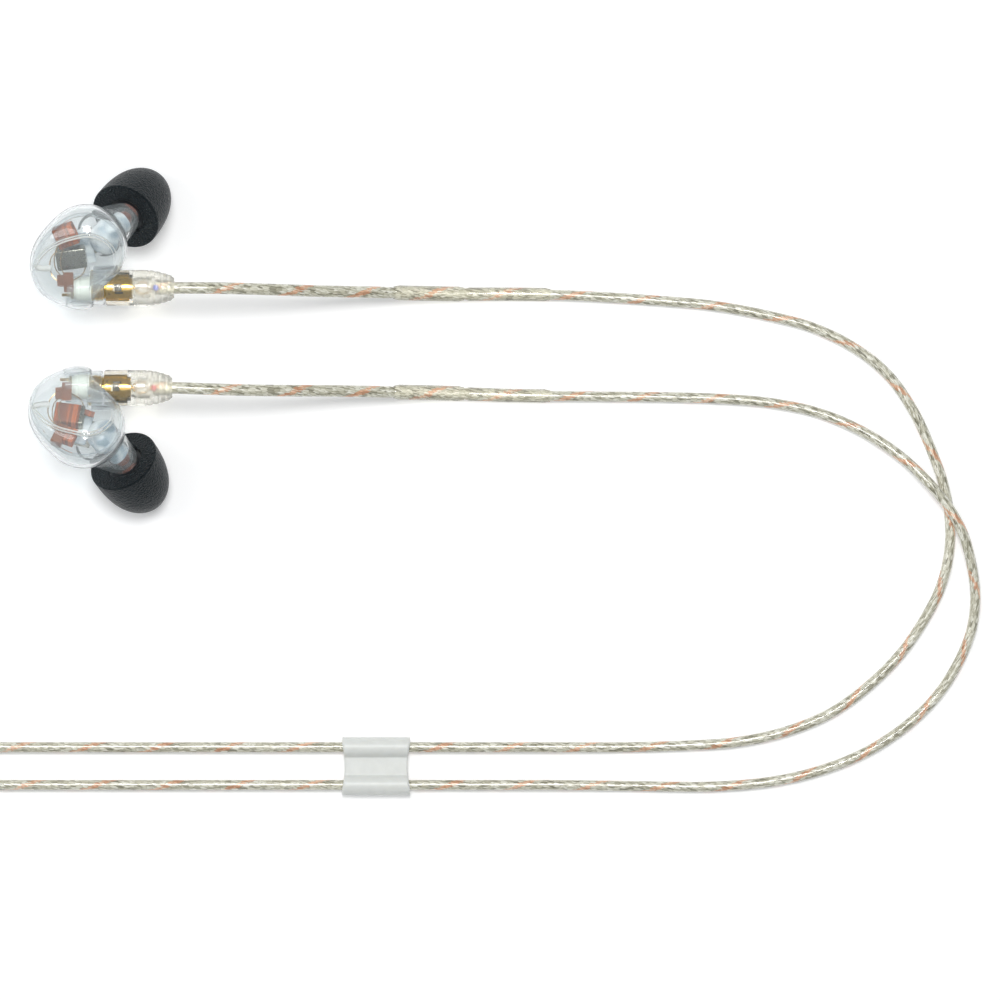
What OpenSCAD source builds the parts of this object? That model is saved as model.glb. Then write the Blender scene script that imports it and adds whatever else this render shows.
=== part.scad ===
// In-ear monitors: a mirrored pair of earphones on a detachable braided cable.
// X runs from the earphones towards the cable, Y from the right earphone to the
// left one and Z up. The pair lies on z = 0 on its foam tips, and the cable lies
// on the same surface: out, round a wide bend, back through the cinch to the
// Y-split and into a tied coil with the stereo plug beside it.

/* [Earphone shell] */
// Length of the round lobe of the shell, along the connector axis
shell_length = 15.2; // [12:0.1:20]
// Height of the round lobe of the shell, across the connector axis
shell_height = 16.0; // [13:0.1:20]
// Thickness of the round lobe of the shell, from the face to the ear side
shell_depth = 11.0; // [9:0.1:14]
// Wall thickness of both shell halves
shell_wall = 0.7; // [0.4:0.05:1.2]
// Height of the parting plane above the connector axis
seam_z = 1.2; // [0.5:0.1:2]
// Outer radius of the connector boss
boss_r = 3.2; // [3:0.05:3.6]
// Length of the connector boss that stands out of the shell
boss_out = 2.1; // [1:0.1:4]

/* [Nozzle and ear tip] */
// Angle between the nozzle and the straight line from the face to the ear side
nozzle_tilt = 25.5; // [10:0.5:40]
// Direction in which the nozzle leans, from the connector axis
nozzle_azimuth = 22.5; // [0:0.5:45]
// Outer radius of the nozzle tube
nozzle_r = 1.75; // [1.4:0.05:2.1]
// Wall thickness of the nozzle tube
nozzle_wall = 0.5; // [0.3:0.05:0.7]
// Length of the nozzle tube that the ear tip slides over
nozzle_length = 6.5; // [4:0.1:9]
// Radius of the shell's spout where the nozzle tube leaves it
spout_r = 3.0; // [2.7:0.1:4]
// Radius of the foam at its base
foam_r = 6.65; // [5:0.05:8]
// Length of the foam
foam_length = 13.0; // [10:0.1:16]
// Radius of the sound hole at the end of the foam
foam_hole_r = 2.0; // [1.5:0.1:2.4]
// Wall thickness of the tube at the core of the ear tip
core_wall = 0.9; // [0.5:0.05:1.2]
// Length of the tube at the core of the ear tip
core_length = 9.5; // [8:0.1:10]

/* [Connector] */
// Radius of the bore in the earphone's socket
socket_r = 1.95; // [1.8:0.05:2.1]
// Wall thickness of the earphone's socket
socket_wall = 0.45; // [0.3:0.05:0.6]
// Depth of the socket behind the face of the boss
socket_depth = 6.5; // [5:0.1:8]
// Length of the plug barrel inside the socket
plug_reach = 3.4; // [2.5:0.1:4]
// Wall thickness of the plug barrel
plug_wall = 0.42; // [0.3:0.02:0.6]
// Radius of the centre pin
pin_r = 0.35; // [0.25:0.05:0.5]
// Length of the clear housing of the plug
housing_length = 12.6; // [10:0.1:16]
// Largest radius of the clear housing of the plug
housing_r = 3.33; // [3:0.01:4]
// Radius of the clear housing of the plug at its cable end
housing_tail_r = 2.05; // [1.6:0.05:2.6]

/* [Cable] */
// Diameter of the formable section behind each plug
form_d = 2.2; // [1.8:0.05:2.6]
// Diameter of the sleeve that closes the formable section
sleeve_d = 2.8; // [2.4:0.05:3.2]
// Diameter of the thinner sleeve behind it
lead_sleeve_d = 2.5; // [2.2:0.05:3]
// Diameter of each plain lead
lead_d = 1.9; // [1.6:0.05:2.2]
// Diameter of the main cable
cable_d = 2.5; // [2.2:0.05:3]
// Distance between the two leads in the cinch
lead_gap = 7.0; // [5:0.1:9]
// Length of the cinch along the leads
cinch_length = 12.6; // [8:0.1:18]
// Outer diameter of the cinch's two tubes
cinch_tube_d = 3.8; // [3.2:0.1:5]
// Thickness of the cinch's wall under a lead
cinch_floor = 0.35; // [0.25:0.05:0.8]
// Thickness of the web between the cinch's tubes
cinch_web = 1.6; // [1:0.1:2.4]
// Diameter across the middle of the coil's turns
coil_d = 28; // [25:1:34]
// Number of turns that lie side by side in the coil
coil_columns = 4; // [3:1:5]
// Number of layers in the coil
coil_layers = 4; // [3:1:5]

/* [Stereo plug] */
// Radius of the plug's pin
jack_r = 1.75; // [1.7:0.05:1.8]
// Length of the plug's pin
jack_length = 14.0; // [13:0.1:15]
// Outer radius of the plug's moulded body
jack_body_r = 3.9; // [3.5:0.1:5]
// Length of the plug's moulded body
jack_body_length = 14.5; // [12:0.5:20]
// Length of the plug's strain relief
jack_relief_length = 11.0; // [8:0.5:16]

/* [Lie of the pair] */
// Distance between the two connector axes
axis_gap = 18.4; // [17:0.1:26]
// Roll of the left earphone about its connector axis
left_roll = 25; // [20:1:35]
// Roll of the right earphone about its connector axis
right_roll = 30; // [20:1:35]
// Place of the left boss face along X
face_x = 0.8; // [0:0.1:2]
// How far the right earphone lies behind the left one
stagger = 0.4; // [0:0.1:1]

/* [Hidden] */
$fn = 64;
// Facets of the spheres inside a hull
hull_fn = 32;
// Radial gap of everything that turns or slides
fit = 0.03;
// Radial gap round a lead in the cinch
lead_fit = 0.08;
// Axial gap between pieces that only pass each other
gap = 0.2;
// Width and thickness of the strap that ties the coil
tie_width = 7;
tie_t = 0.7;
// Number of sides of a cable's outline
sides = 8;

// Lobes of the shell in the earphone's own frame: [centre, semi-axes]. The
// origin is the centre of the boss face, +X points to the cable and +Z out of
// the face.
lobe_round = [[-3.3, shell_height / 2 + 0.2, -0.8],
              [shell_length / 2, shell_height / 2, shell_depth / 2]];
lobe_narrow = [[-8.2, 4.6, -0.3], [5.6, 7.4, 3.6]];
lobe_boss = [[-boss_out - 2.2, 0, 0], [1, 1, 1] * (socket_r + socket_wall + 1.7)];
// Radius and length of the boss inside the shell
boss_core_r = socket_r + socket_wall + 0.5;
boss_core = socket_depth - boss_out + 0.3;

// Centre of the foam's base, and the rotation that puts +Z along the nozzle
tip_seat = [3.6, shell_height / 2 + 2.4, -shell_depth / 2 - 3.4];
tip_turn = [0, 180 - nozzle_tilt, nozzle_azimuth];
tip_dir = [sin(nozzle_tilt) * cos(nozzle_azimuth),
           sin(nozzle_tilt) * sin(nozzle_azimuth),
           -cos(nozzle_tilt)];
bore_r = nozzle_r - nozzle_wall;
core_r = nozzle_r + fit + core_wall;
// Recess in the foam's base: the spout ends inside it, above the core's flange
recess_r = spout_r + 0.55;
recess_depth = 1.6;
flange_t = 0.6;
spout_end = recess_depth - flange_t - 0.3;

// Profile of the foam, and how much of its length its sound hole leaves
function foam_at(s) = foam_r * sqrt(max(0, 1 - pow(s / foam_length, 2.6)));
foam_cut = foam_length * pow(1 - pow((foam_hole_r + 0.25) / foam_r, 2), 1 / 2.6);
foam_steps = 14;

// Lie of each earphone: the foam tip just touches the surface
function roll(side) = side == "left" ? left_roll : right_roll;
function down(v, side) = -(v.y * sin(roll(side)) + v.z * cos(roll(side)));
function tip_drop(side) =
    let (d = down(tip_dir, side))
    max([for (i = [0 : 60]) let (s = foam_cut * i / 60)
        s * d + foam_at(s) * sqrt(1 - d * d)]);
function axis_z(side) = down(tip_seat, side) + tip_drop(side);
function plug_x(side) = face_x - (side == "left" ? 0 : stagger);

// Sizes of the connector
barrel_r = socket_r - fit;
plug_bore = barrel_r - plug_wall;
contact_r = 0.75;
collar_r = 2.45;
collar_x = 5.2;
ring_x = -2.4;
ring_w = 0.6;
ring_depth = 0.22;
housing_x = gap;

// Route of each lead from its plug to the Y-split: [x, y, z]. A lead lies on the
// surface at z = low, passes over the other at z = over and runs at z = held where
// the cinch slides. The first points' heights are shares of the plug's height.
lead_y = -75.8;
split_x = -36;
split_y = lead_y - lead_gap / 2;
split_z = 2.2;
entry = 1.45;
low = lead_d / 2;
over = low + lead_d + 0.1;
held = low + lead_fit + cinch_floor;
left_rise = [[19, 9.2, 0.985], [26, 9.1, 0.92], [33, 8.9, 0.8], [41, 8.7, 0.62],
    [48, 8.6, 0.45], [54, 8.5, 0.32], [60.5, 8.4, 0.2], [67, 8.3, 0.13]];
right_rise = [[19, -9.4, 0.985], [26, -9.6, 0.92], [33, -9.7, 0.8], [41, -9.7, 0.62],
    [48, -9.8, 0.45], [54, -9.9, 0.32], [60.5, -10, 0.2], [67, -10.2, 0.13]];
left_run = [[75, 8.3, 1.4], [83, 8.2, 1.3], [92, 7.8, low], [103, 7.1, low],
    [113, 6.2, low], [123, 4.4, low], [132, 2, low], [140, -2, low], [146, -7, low],
    [150.5, -13.5, low], [153.5, -20, low], [156, -27, low], [157.2, -34, low],
    [157, -40, low], [155.5, -46, low], [152.5, -52, low], [148, -58.5, low],
    [142, -64.5, low], [135, -69.5, low], [127, -72.8, low], [118, -74.8, low],
    [108, -75.5, low], [96, -75.8, low], [84, -75.8, held], [30, -75.8, held],
    [-20, -75.8, held], [-27, -76.8, 1.7], [-32, -77.8, split_z]];
right_run = [[75, -10.5, 1.4], [83, -10.6, 1.3], [92, -10.7, low], [103, -10.8, low],
    [114, -11.1, low], [124, -11.9, low], [133, -13.8, low], [141, -17.2, low + 0.5],
    [148, -21.8, 2], [153, -26.5, over], [156.7, -31, over], [159.5, -36, over],
    [161.2, -42, 2], [161.9, -48, low + 0.5], [161.2, -54, low], [158.8, -60, low],
    [155, -66, low], [149.5, -71.5, low], [142, -76.5, low], [133.5, -80, low],
    [124, -82.2, low], [113, -83.1, low], [98, -83, low], [84, -82.8, held],
    [30, -82.8, held], [-20, -82.8, held], [-27, -81.8, 1.7], [-32, -80.8, split_z]];
// Numbers of the route's points at which one of a lead's pieces follows another
form_end = 7;
sleeve_end = 9;
thin_end = 11;

// Y-split, main cable and coil
split_length = 15;
split_w = 6.4;
split_tail_w = 4.2;
split_h = 2 * split_z;
coil_mid = [-75, split_y + coil_d / 2 + 2];
coil_w = coil_columns * cable_d;
coil_h = coil_layers * cable_d;
coil_skin = 1.0;
coil_in = coil_d / 2 - coil_w / 2;
main_route = [[split_x - split_length, split_y, split_z],
    [split_x - split_length - 2, split_y, split_z], [-57, -79.4, 1.5], [-62, -79.9, 1.25],
    [-68, -80.8, 1.25]];
jack_at = [-94, -42, jack_body_r];
tail_route = [[-92.9, -60, 8.2], [-93.3, -55, 6.8], [-93.8, -49, 5], [-94, -44, jack_body_r],
    jack_at];
jack_ring_length = 2.6;
jack_band = 0.6;
jack_tip_length = 3.4;

// Puts an earphone's or a plug's pieces, drawn in the earphone's own frame, in place
module seat(side) {
    mirror([0, side == "left" ? 0 : 1, 0])
        translate([plug_x(side), axis_gap / 2, axis_z(side)])
            rotate([roll(side), 0, 0])
                children();
}

// The same for a piece that doesn't roll with the earphone
module plug_seat(side) {
    mirror([0, side == "left" ? 0 : 1, 0])
        translate([plug_x(side), axis_gap / 2, axis_z(side)])
            children();
}

// Turns +Z into the nozzle's direction at the foam's base
module at_tip() {
    translate(tip_seat)
        rotate(tip_turn)
            children();
}

// A cylinder or tube along +X, from x0 to x1
module rod(x0, x1, r, bore = 0) {
    translate([x0, 0, 0])
        rotate([0, 90, 0])
            difference() {
                cylinder(h = x1 - x0, r = r);
                if (bore > 0)
                    translate([0, 0, -1])
                        cylinder(h = x1 - x0 + 2, r = bore);
            }
}

// A tube along +Z, from z0 to z1
module pipe(z0, z1, r, bore) {
    translate([0, 0, z0])
        difference() {
            cylinder(h = z1 - z0, r = r);
            translate([0, 0, -1])
                cylinder(h = z1 - z0 + 2, r = bore);
        }
}

// A box about its centre
module block(size, middle, turn = 0) {
    translate(middle)
        rotate([0, 0, turn])
            cube(size, center = true);
}

// One lobe of the shell, with its surface moved inwards
module lobe(l, inset) {
    translate(l[0])
        scale(l[1] - [1, 1, 1] * inset)
            sphere(r = 1, $fn = hull_fn);
}

// The whole shell's outline as a solid, with its surface moved inwards
module shell_body(inset = 0) {
    hull() {
        lobe(lobe_round, inset);
        lobe(lobe_narrow, inset);
        lobe(lobe_boss, inset);
    }
}

// Spout that carries the nozzle, down to where the ear tip begins
module spout(inset = 0) {
    hull() {
        translate([-1.6, shell_height / 2 + 0.6, -shell_depth / 2 + 1.6])
            scale([4.6, 4.9, 3.4] - [1, 1, 1] * inset)
                sphere(r = 1, $fn = hull_fn);
        at_tip()
            translate([0, 0, spout_end - 0.8 - inset])
                cylinder(h = 0.8, r = spout_r - inset, $fn = hull_fn);
    }
}

// Half spaces above and below the parting plane
module above(z) {
    translate([-40, -40, z])
        cube([80, 80, 40]);
}

module below(z) {
    translate([-40, -40, z - 40])
        cube([80, 80, 40]);
}

// Room for the plug's housing to turn in front of the boss
module plug_room(grow = 0) {
    rod(-boss_out - grow, 20, housing_r + gap + grow);
}

// The hollow inside both shell halves
module cavity() {
    difference() {
        shell_body(shell_wall);
        plug_room(shell_wall);
        rod(-boss_out - boss_core, 1, boss_core_r);
    }
}

module front_cover() {
    color([0.93, 0.96, 0.98, 0.35])
        difference() {
            intersection() {
                shell_body();
                above(seam_z);
            }
            cavity();
            plug_room();
            rod(-boss_out - boss_core - fit, 1, boss_core_r + fit);
        }
}

module inner_shell() {
    color([0.9, 0.94, 0.97, 0.35])
        difference() {
            union() {
                difference() {
                    intersection() {
                        shell_body();
                        below(seam_z);
                    }
                    plug_room();
                }
                intersection() {
                    spout();
                    below(-1);
                }
                rod(-boss_out - boss_core, -boss_out + 0.5, boss_core_r);
                rod(-boss_out, 0, boss_r);
                at_tip()
                    translate([0, 0, spout_end - 1])
                        cylinder(h = nozzle_length - spout_end + 1, r = nozzle_r);
            }
            cavity();
            intersection() {
                spout(shell_wall + 0.2);
                below(0);
            }
            at_tip()
                translate([0, 0, spout_end - 3])
                    cylinder(h = nozzle_length - spout_end + 4, r = bore_r);
            rod(-socket_depth, 1, socket_r + socket_wall);
            rod(-socket_depth - 1, 1, contact_r);
        }
}

module nozzle_screen() {
    color([0.62, 0.64, 0.66])
        at_tip()
            translate([0, 0, nozzle_length - 0.5])
                cylinder(h = 0.3, r = bore_r);
}

module damper() {
    color([0.45, 0.2, 0.12])
        at_tip()
            pipe(spout_end - 1.2, spout_end + 2.4, bore_r, bore_r - 0.3);
}

module tip_core() {
    color([0.12, 0.13, 0.14])
        at_tip() {
            pipe(recess_depth - flange_t, recess_depth, recess_r, nozzle_r + fit);
            pipe(recess_depth, core_length, core_r, nozzle_r + fit);
        }
}

module tip_foam() {
    color([0.13, 0.15, 0.16])
        at_tip()
            rotate_extrude()
                polygon(concat(
                    [for (i = [0 : foam_steps]) let (s = foam_cut * i / foam_steps)
                        [foam_at(s), s]],
                    [[foam_hole_r, foam_cut], [foam_hole_r, core_length],
                     [core_r, core_length], [core_r, recess_depth],
                     [recess_r, recess_depth], [recess_r, 0]]));
}

// A point and a size as shares of the semi-axes of the hollow in the round lobe
hollow = lobe_round[1] - [1, 1, 1] * shell_wall;
function place(u, v) = [lobe_round[0].x + u * hollow.x, lobe_round[0].y + v * hollow.y];
function share(u, v, w) = [u * hollow.x, v * hollow.y, w * hollow.z];

// Places of the cradle's plate and the pieces on it: [size, centre, turn]
plate_t = 0.6;
plate_top = -0.7;
plate_size = share(0.93, 0.92, 0);
plate = [[plate_size.x, plate_size.y, plate_t],
         concat(place(-0.304, -0.082), plate_top - plate_t / 2), 14];
function on_plate(size, xy, turn) = [size, concat(xy, plate_top + size.z / 2), turn];
function under_plate(size, xy, turn) =
    [size, concat(xy, plate_top - plate_t - size.z / 2), turn];
treble = on_plate(share(0.507, 0.411, 0.417), place(-0.464, 0.301), 22);
bass_front = on_plate(share(0.783, 0.521, 0.458), place(-0.391, -0.247), 8);
bass_rear = under_plate(share(0.812, 0.63, 0.479), place(-0.188, -0.027), 14);
board_t = 0.3;
board = [[1.7, 0.144 * shell_height, board_t],
         [-socket_depth - 1.25, 0.131 * shell_height, contact_r + 0.05 + board_t / 2], 0];

module driver(d, tint) {
    color(tint)
        block(d[0], d[1], d[2]);
}

module driver_cradle() {
    color([0.8, 0.82, 0.84, 0.6])
        block(plate[0], plate[1], plate[2]);
}

module crossover_board() {
    color([0.45, 0.24, 0.12])
        block(board[0], board[1], board[2]);
}

module socket_barrel() {
    color([0.83, 0.66, 0.3])
        rod(-socket_depth, -0.3, socket_r + socket_wall, socket_r);
}

module socket_insulator() {
    color([0.93, 0.92, 0.86])
        union() {
            rod(-socket_depth, -plug_reach - 0.6, socket_r, contact_r);
            rod(-plug_reach - 0.6, -1.6, plug_bore - 0.2, contact_r);
        }
}

module socket_contact() {
    color([0.83, 0.66, 0.3])
        rod(-socket_depth - 0.8, -1.8, contact_r, pin_r + fit);
}

module snap_ring() {
    color([0.75, 0.6, 0.3])
        difference() {
            rod(ring_x + fit, ring_x + ring_w - fit, barrel_r, barrel_r - ring_depth + fit);
            translate([ring_x - 1, -0.4, 0])
                cube([ring_w + 2, 0.8, 3]);
        }
}

module plug_barrel() {
    color([0.83, 0.66, 0.3])
        difference() {
            union() {
                rod(-plug_reach, collar_x, barrel_r, plug_bore);
                rod(housing_x, collar_x - 0.6, collar_r, plug_bore);
            }
            rod(ring_x, ring_x + ring_w, barrel_r + 1, barrel_r - ring_depth);
            translate([1.6, -0.6, 1])
                cube([1.6, 1.2, 3]);
        }
}

module plug_insulator() {
    color([0.95, 0.95, 0.93])
        rod(-0.8, collar_x, plug_bore, pin_r);
}

module plug_pin() {
    color([0.83, 0.66, 0.3])
        rod(-plug_reach + 0.4, collar_x + 1, pin_r);
}

// The clear housing is straight at the barrel and narrows to the cable. It grips
// the wire's end, and has room for the solder joints behind the barrel.
tail_x = housing_x + housing_length;
wire_grip = 3.5;
room_r = 1.5;

module plug_housing() {
    color([0.9, 0.93, 0.95, 0.4])
        difference() {
            housing_outline();
            marker_outline(3);
        }
}

module housing_outline() {
    rotate([0, 90, 0])
        rotate_extrude()
            polygon([[collar_r, housing_x], [housing_r - 0.35, housing_x],
                [housing_r, housing_x + 0.5], [housing_r, tail_x - 5],
                [housing_r - 0.35, tail_x - 3.2], [housing_tail_r + 0.3, tail_x - 0.9],
                [housing_tail_r, tail_x - 0.3], [housing_tail_r - 0.2, tail_x],
                [form_d / 2, tail_x], [form_d / 2, tail_x - wire_grip],
                [room_r, tail_x - wire_grip - 0.7], [room_r, collar_x + 1.2],
                [pin_r + 0.9, collar_x], [barrel_r, collar_x], [barrel_r, collar_x - 0.6],
                [collar_r, collar_x - 0.6]]);
}

// The side marker's place on top of the housing
module marker_outline(h) {
    translate([tail_x - 3.4, 0, housing_tail_r])
        cylinder(h = h, r = 0.5);
}

module side_marker(tint) {
    color(tint)
        marker_outline(0.5);
}

// A cable's solid: rings of the outline at the points of a route
function unit(v) = v / norm(v);
function ring_at(route, i, r) =
    let (n = len(route),
         t = unit(route[min(i + 1, n - 1)] - route[max(i - 1, 0)]),
         side = unit(cross([0, 0, 1], t)),
         up = cross(t, side))
    [for (k = [0 : sides - 1]) let (a = 360 * (k + 0.5) / sides)
        route[i] + r * (cos(a) * side + sin(a) * up)];

// The stretch of a route from one of its points to another
module cable(route, d, first = 0, last = undef) {
    end = is_undef(last) ? len(route) - 1 : last;
    n = end - first + 1;
    points = [for (i = [first : end]) each ring_at(route, i, d / 2)];
    walls = [for (i = [0 : n - 2], k = [0 : sides - 1])
        let (a = i * sides + k, b = i * sides + (k + 1) % sides)
        each [[a, b + sides, b], [a, a + sides, b + sides]]];
    start = [[for (k = [0 : sides - 1]) k]];
    finish = [[for (k = [sides - 1 : -1 : 0]) (n - 1) * sides + k]];
    color([0.74, 0.72, 0.62])
        polyhedron(points, concat(walls, start, finish));
}

// A lead's whole route: from inside the plug's tail, down to the surface, round
// the bend and into the Y-split
function lead_route(side) =
    let (left = side == "left",
         h = axis_z(side),
         y = left ? axis_gap / 2 : -axis_gap / 2,
         x = plug_x(side) + tail_x,
         end_y = split_y + (left ? entry : -entry))
    concat([[x - wire_grip, y, h], [x, y, h]],
           [for (p = left ? left_rise : right_rise) [p.x, p.y, p.z * h]],
           left ? left_run : right_run,
           [[split_x + 2, end_y, split_z], [split_x, end_y, split_z]]);

module cinch() {
    outer = cinch_tube_d / 2;
    color([0.91, 0.92, 0.89, 0.8])
        translate([44.4, lead_y, 0])
            difference() {
                union() {
                    for (y = [0, -lead_gap])
                        translate([0, y, outer])
                            rod(0, cinch_length, outer);
                    translate([0, -lead_gap, outer - cinch_web / 2])
                        cube([cinch_length, lead_gap, cinch_web]);
                }
                for (y = [0, -lead_gap])
                    translate([0, y, held])
                        rod(-1, cinch_length + 1, lead_d / 2 + lead_fit);
            }
}

module y_split() {
    color([0.9, 0.91, 0.88, 0.8])
        translate([split_x, split_y, 0])
            linear_extrude(height = split_h)
                polygon([[0, -split_w / 2 + 0.8], [0, split_w / 2 - 0.8],
                    [-0.8, split_w / 2], [-4, split_w / 2],
                    [-split_length + 3, split_tail_w / 2], [-split_length, split_tail_w / 2],
                    [-split_length, -split_tail_w / 2], [-split_length + 3, -split_tail_w / 2],
                    [-4, -split_w / 2], [-0.8, -split_w / 2]]);
}

module cable_coil() {
    color([0.74, 0.72, 0.62])
        translate([coil_mid.x, coil_mid.y, 0])
            difference() {
                rotate_extrude()
                    translate([coil_in, 0])
                        polygon([[coil_skin, 0], [coil_w - coil_skin, 0], [coil_w, coil_skin],
                            [coil_w, coil_h - coil_skin], [coil_w - coil_skin, coil_h],
                            [coil_skin, coil_h], [0, coil_h - coil_skin], [0, coil_skin]]);
                coil_tie_outline();
            }
}

// The strap round the coil's bundle: its foot is let into the bundle's underside
module coil_tie_outline() {
    translate([coil_in - tie_t, -tie_width / 2, 0])
        difference() {
            cube([coil_w + 2 * tie_t, tie_width, coil_h + tie_t]);
            translate([tie_t, -1, tie_t])
                cube([coil_w, tie_width + 2, coil_h - tie_t]);
        }
}

module coil_tie() {
    color([0.2, 0.2, 0.21])
        translate([coil_mid.x, coil_mid.y, 0])
            coil_tie_outline();
}

// Puts a piece of the stereo plug, drawn along +X, behind the cable's end
module at_jack() {
    translate(jack_at)
        rotate([0, 0, 90])
            children();
}

module jack_relief() {
    color([0.16, 0.16, 0.17])
        at_jack()
            rotate([0, 90, 0])
                rotate_extrude()
                    polygon([[0, 0], [cable_d / 2 + 0.4, 0],
                        [jack_body_r - 1.4, jack_relief_length], [0, jack_relief_length]]);
}

module jack_body() {
    x0 = jack_relief_length;
    x1 = x0 + jack_body_length;
    color([0.16, 0.16, 0.17])
        at_jack()
            rotate([0, 90, 0])
                rotate_extrude()
                    polygon([[0, x0], [jack_body_r - 0.8, x0], [jack_body_r, x0 + 0.8],
                        [jack_body_r, x1 - 1.2], [jack_body_r - 0.6, x1], [0, x1]]);
}

// The pin's contacts follow each other, with an insulating band between them
pin_x = jack_relief_length + jack_body_length;
pin_end = pin_x + jack_length;
tip_x = pin_end - jack_tip_length;
ring_start = tip_x - jack_band - jack_ring_length;

module jack_sleeve() {
    color([0.83, 0.66, 0.3])
        at_jack()
            rod(pin_x, ring_start - jack_band, jack_r);
}

module jack_bands() {
    color([0.1, 0.1, 0.1])
        at_jack() {
            rod(ring_start - jack_band, ring_start, jack_r);
            rod(tip_x - jack_band, tip_x, jack_r);
        }
}

module jack_ring() {
    color([0.83, 0.66, 0.3])
        at_jack()
            rod(ring_start, ring_start + jack_ring_length, jack_r);
}

module jack_tip() {
    color([0.83, 0.66, 0.3])
        at_jack()
            rotate([0, 90, 0])
                rotate_extrude()
                    polygon([[0, tip_x], [jack_r - 0.45, tip_x], [jack_r - 0.45, tip_x + 0.7],
                        [jack_r, tip_x + 1.3], [jack_r, tip_x + 1.8], [0.5, pin_end], [0, pin_end]]);
}

// Everything that one side of the pair repeats
module side_piece(side, piece) {
    if (piece == "front_cover") seat(side) front_cover();
    if (piece == "inner_shell") seat(side) inner_shell();
    if (piece == "nozzle_screen") seat(side) nozzle_screen();
    if (piece == "damper") seat(side) damper();
    if (piece == "tip_core") seat(side) tip_core();
    if (piece == "tip_foam") seat(side) tip_foam();
    if (piece == "treble_driver") seat(side) driver(treble, [0.62, 0.33, 0.2]);
    if (piece == "bass_driver_front") seat(side) driver(bass_front, [0.55, 0.57, 0.52]);
    if (piece == "bass_driver_rear") seat(side) driver(bass_rear, [0.5, 0.26, 0.16]);
    if (piece == "driver_cradle") seat(side) driver_cradle();
    if (piece == "crossover_board") seat(side) crossover_board();
    if (piece == "socket_barrel") seat(side) socket_barrel();
    if (piece == "socket_insulator") seat(side) socket_insulator();
    if (piece == "socket_contact") seat(side) socket_contact();
    if (piece == "snap_ring") plug_seat(side) snap_ring();
    if (piece == "plug_barrel") plug_seat(side) plug_barrel();
    if (piece == "plug_insulator") plug_seat(side) plug_insulator();
    if (piece == "plug_pin") plug_seat(side) plug_pin();
    if (piece == "plug_housing") plug_seat(side) plug_housing();
    if (piece == "side_marker") plug_seat(side) side_marker(side == "left" ? "blue" : "red");
    if (piece == "form_wire") cable(lead_route(side), form_d, 0, form_end);
    if (piece == "wire_sleeve") cable(lead_route(side), sleeve_d, form_end, sleeve_end);
    if (piece == "lead_sleeve") cable(lead_route(side), lead_sleeve_d, sleeve_end, thin_end);
    if (piece == "lead") cable(lead_route(side), lead_d, thin_end);
}

side_piece("left", "front_cover");  // left_front_cover
side_piece("left", "inner_shell");  // left_inner_shell
side_piece("left", "nozzle_screen");  // left_nozzle_screen
side_piece("left", "damper");  // left_damper
side_piece("left", "tip_core");  // left_tip_core
side_piece("left", "tip_foam");  // left_tip_foam
side_piece("left", "treble_driver");  // left_treble_driver
side_piece("left", "bass_driver_front");  // left_bass_driver_front
side_piece("left", "bass_driver_rear");  // left_bass_driver_rear
side_piece("left", "driver_cradle");  // left_driver_cradle
side_piece("left", "crossover_board");  // left_crossover_board
side_piece("left", "socket_barrel");  // left_socket_barrel
side_piece("left", "socket_insulator");  // left_socket_insulator
side_piece("left", "socket_contact");  // left_socket_contact
side_piece("left", "snap_ring");  // left_snap_ring
side_piece("left", "plug_barrel");  // left_plug_barrel
side_piece("left", "plug_insulator");  // left_plug_insulator
side_piece("left", "plug_pin");  // left_plug_pin
side_piece("left", "plug_housing");  // left_plug_housing
side_piece("left", "side_marker");  // left_side_marker
side_piece("left", "form_wire");  // left_form_wire
side_piece("left", "wire_sleeve");  // left_wire_sleeve
side_piece("left", "lead_sleeve");  // left_lead_sleeve
side_piece("left", "lead");  // left_lead
side_piece("right", "front_cover");  // right_front_cover
side_piece("right", "inner_shell");  // right_inner_shell
side_piece("right", "nozzle_screen");  // right_nozzle_screen
side_piece("right", "damper");  // right_damper
side_piece("right", "tip_core");  // right_tip_core
side_piece("right", "tip_foam");  // right_tip_foam
side_piece("right", "treble_driver");  // right_treble_driver
side_piece("right", "bass_driver_front");  // right_bass_driver_front
side_piece("right", "bass_driver_rear");  // right_bass_driver_rear
side_piece("right", "driver_cradle");  // right_driver_cradle
side_piece("right", "crossover_board");  // right_crossover_board
side_piece("right", "socket_barrel");  // right_socket_barrel
side_piece("right", "socket_insulator");  // right_socket_insulator
side_piece("right", "socket_contact");  // right_socket_contact
side_piece("right", "snap_ring");  // right_snap_ring
side_piece("right", "plug_barrel");  // right_plug_barrel
side_piece("right", "plug_insulator");  // right_plug_insulator
side_piece("right", "plug_pin");  // right_plug_pin
side_piece("right", "plug_housing");  // right_plug_housing
side_piece("right", "side_marker");  // right_side_marker
side_piece("right", "form_wire");  // right_form_wire
side_piece("right", "wire_sleeve");  // right_wire_sleeve
side_piece("right", "lead_sleeve");  // right_lead_sleeve
side_piece("right", "lead");  // right_lead
cinch();
y_split();
cable(main_route, cable_d);  // main_cable
cable_coil();
coil_tie();
cable(tail_route, cable_d);  // tail_cable
jack_relief();
jack_body();
jack_sleeve();
jack_ring();
jack_tip();
jack_bands();
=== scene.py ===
"""Looks of a pair of in-ear monitors on a braided detachable cable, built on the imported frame.

Every size below is in millimetres in the frame's own axes, unless its name says otherwise.
Pieces are modelled at their place and brought to metres when they are made.
"""

import logging
import math
from dataclasses import dataclass, field
from enum import Enum
from typing import Callable, Iterable, Sequence

import bmesh
import bpy
from mathutils import Matrix, Vector, noise
from mathutils.bvhtree import BVHTree


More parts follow.
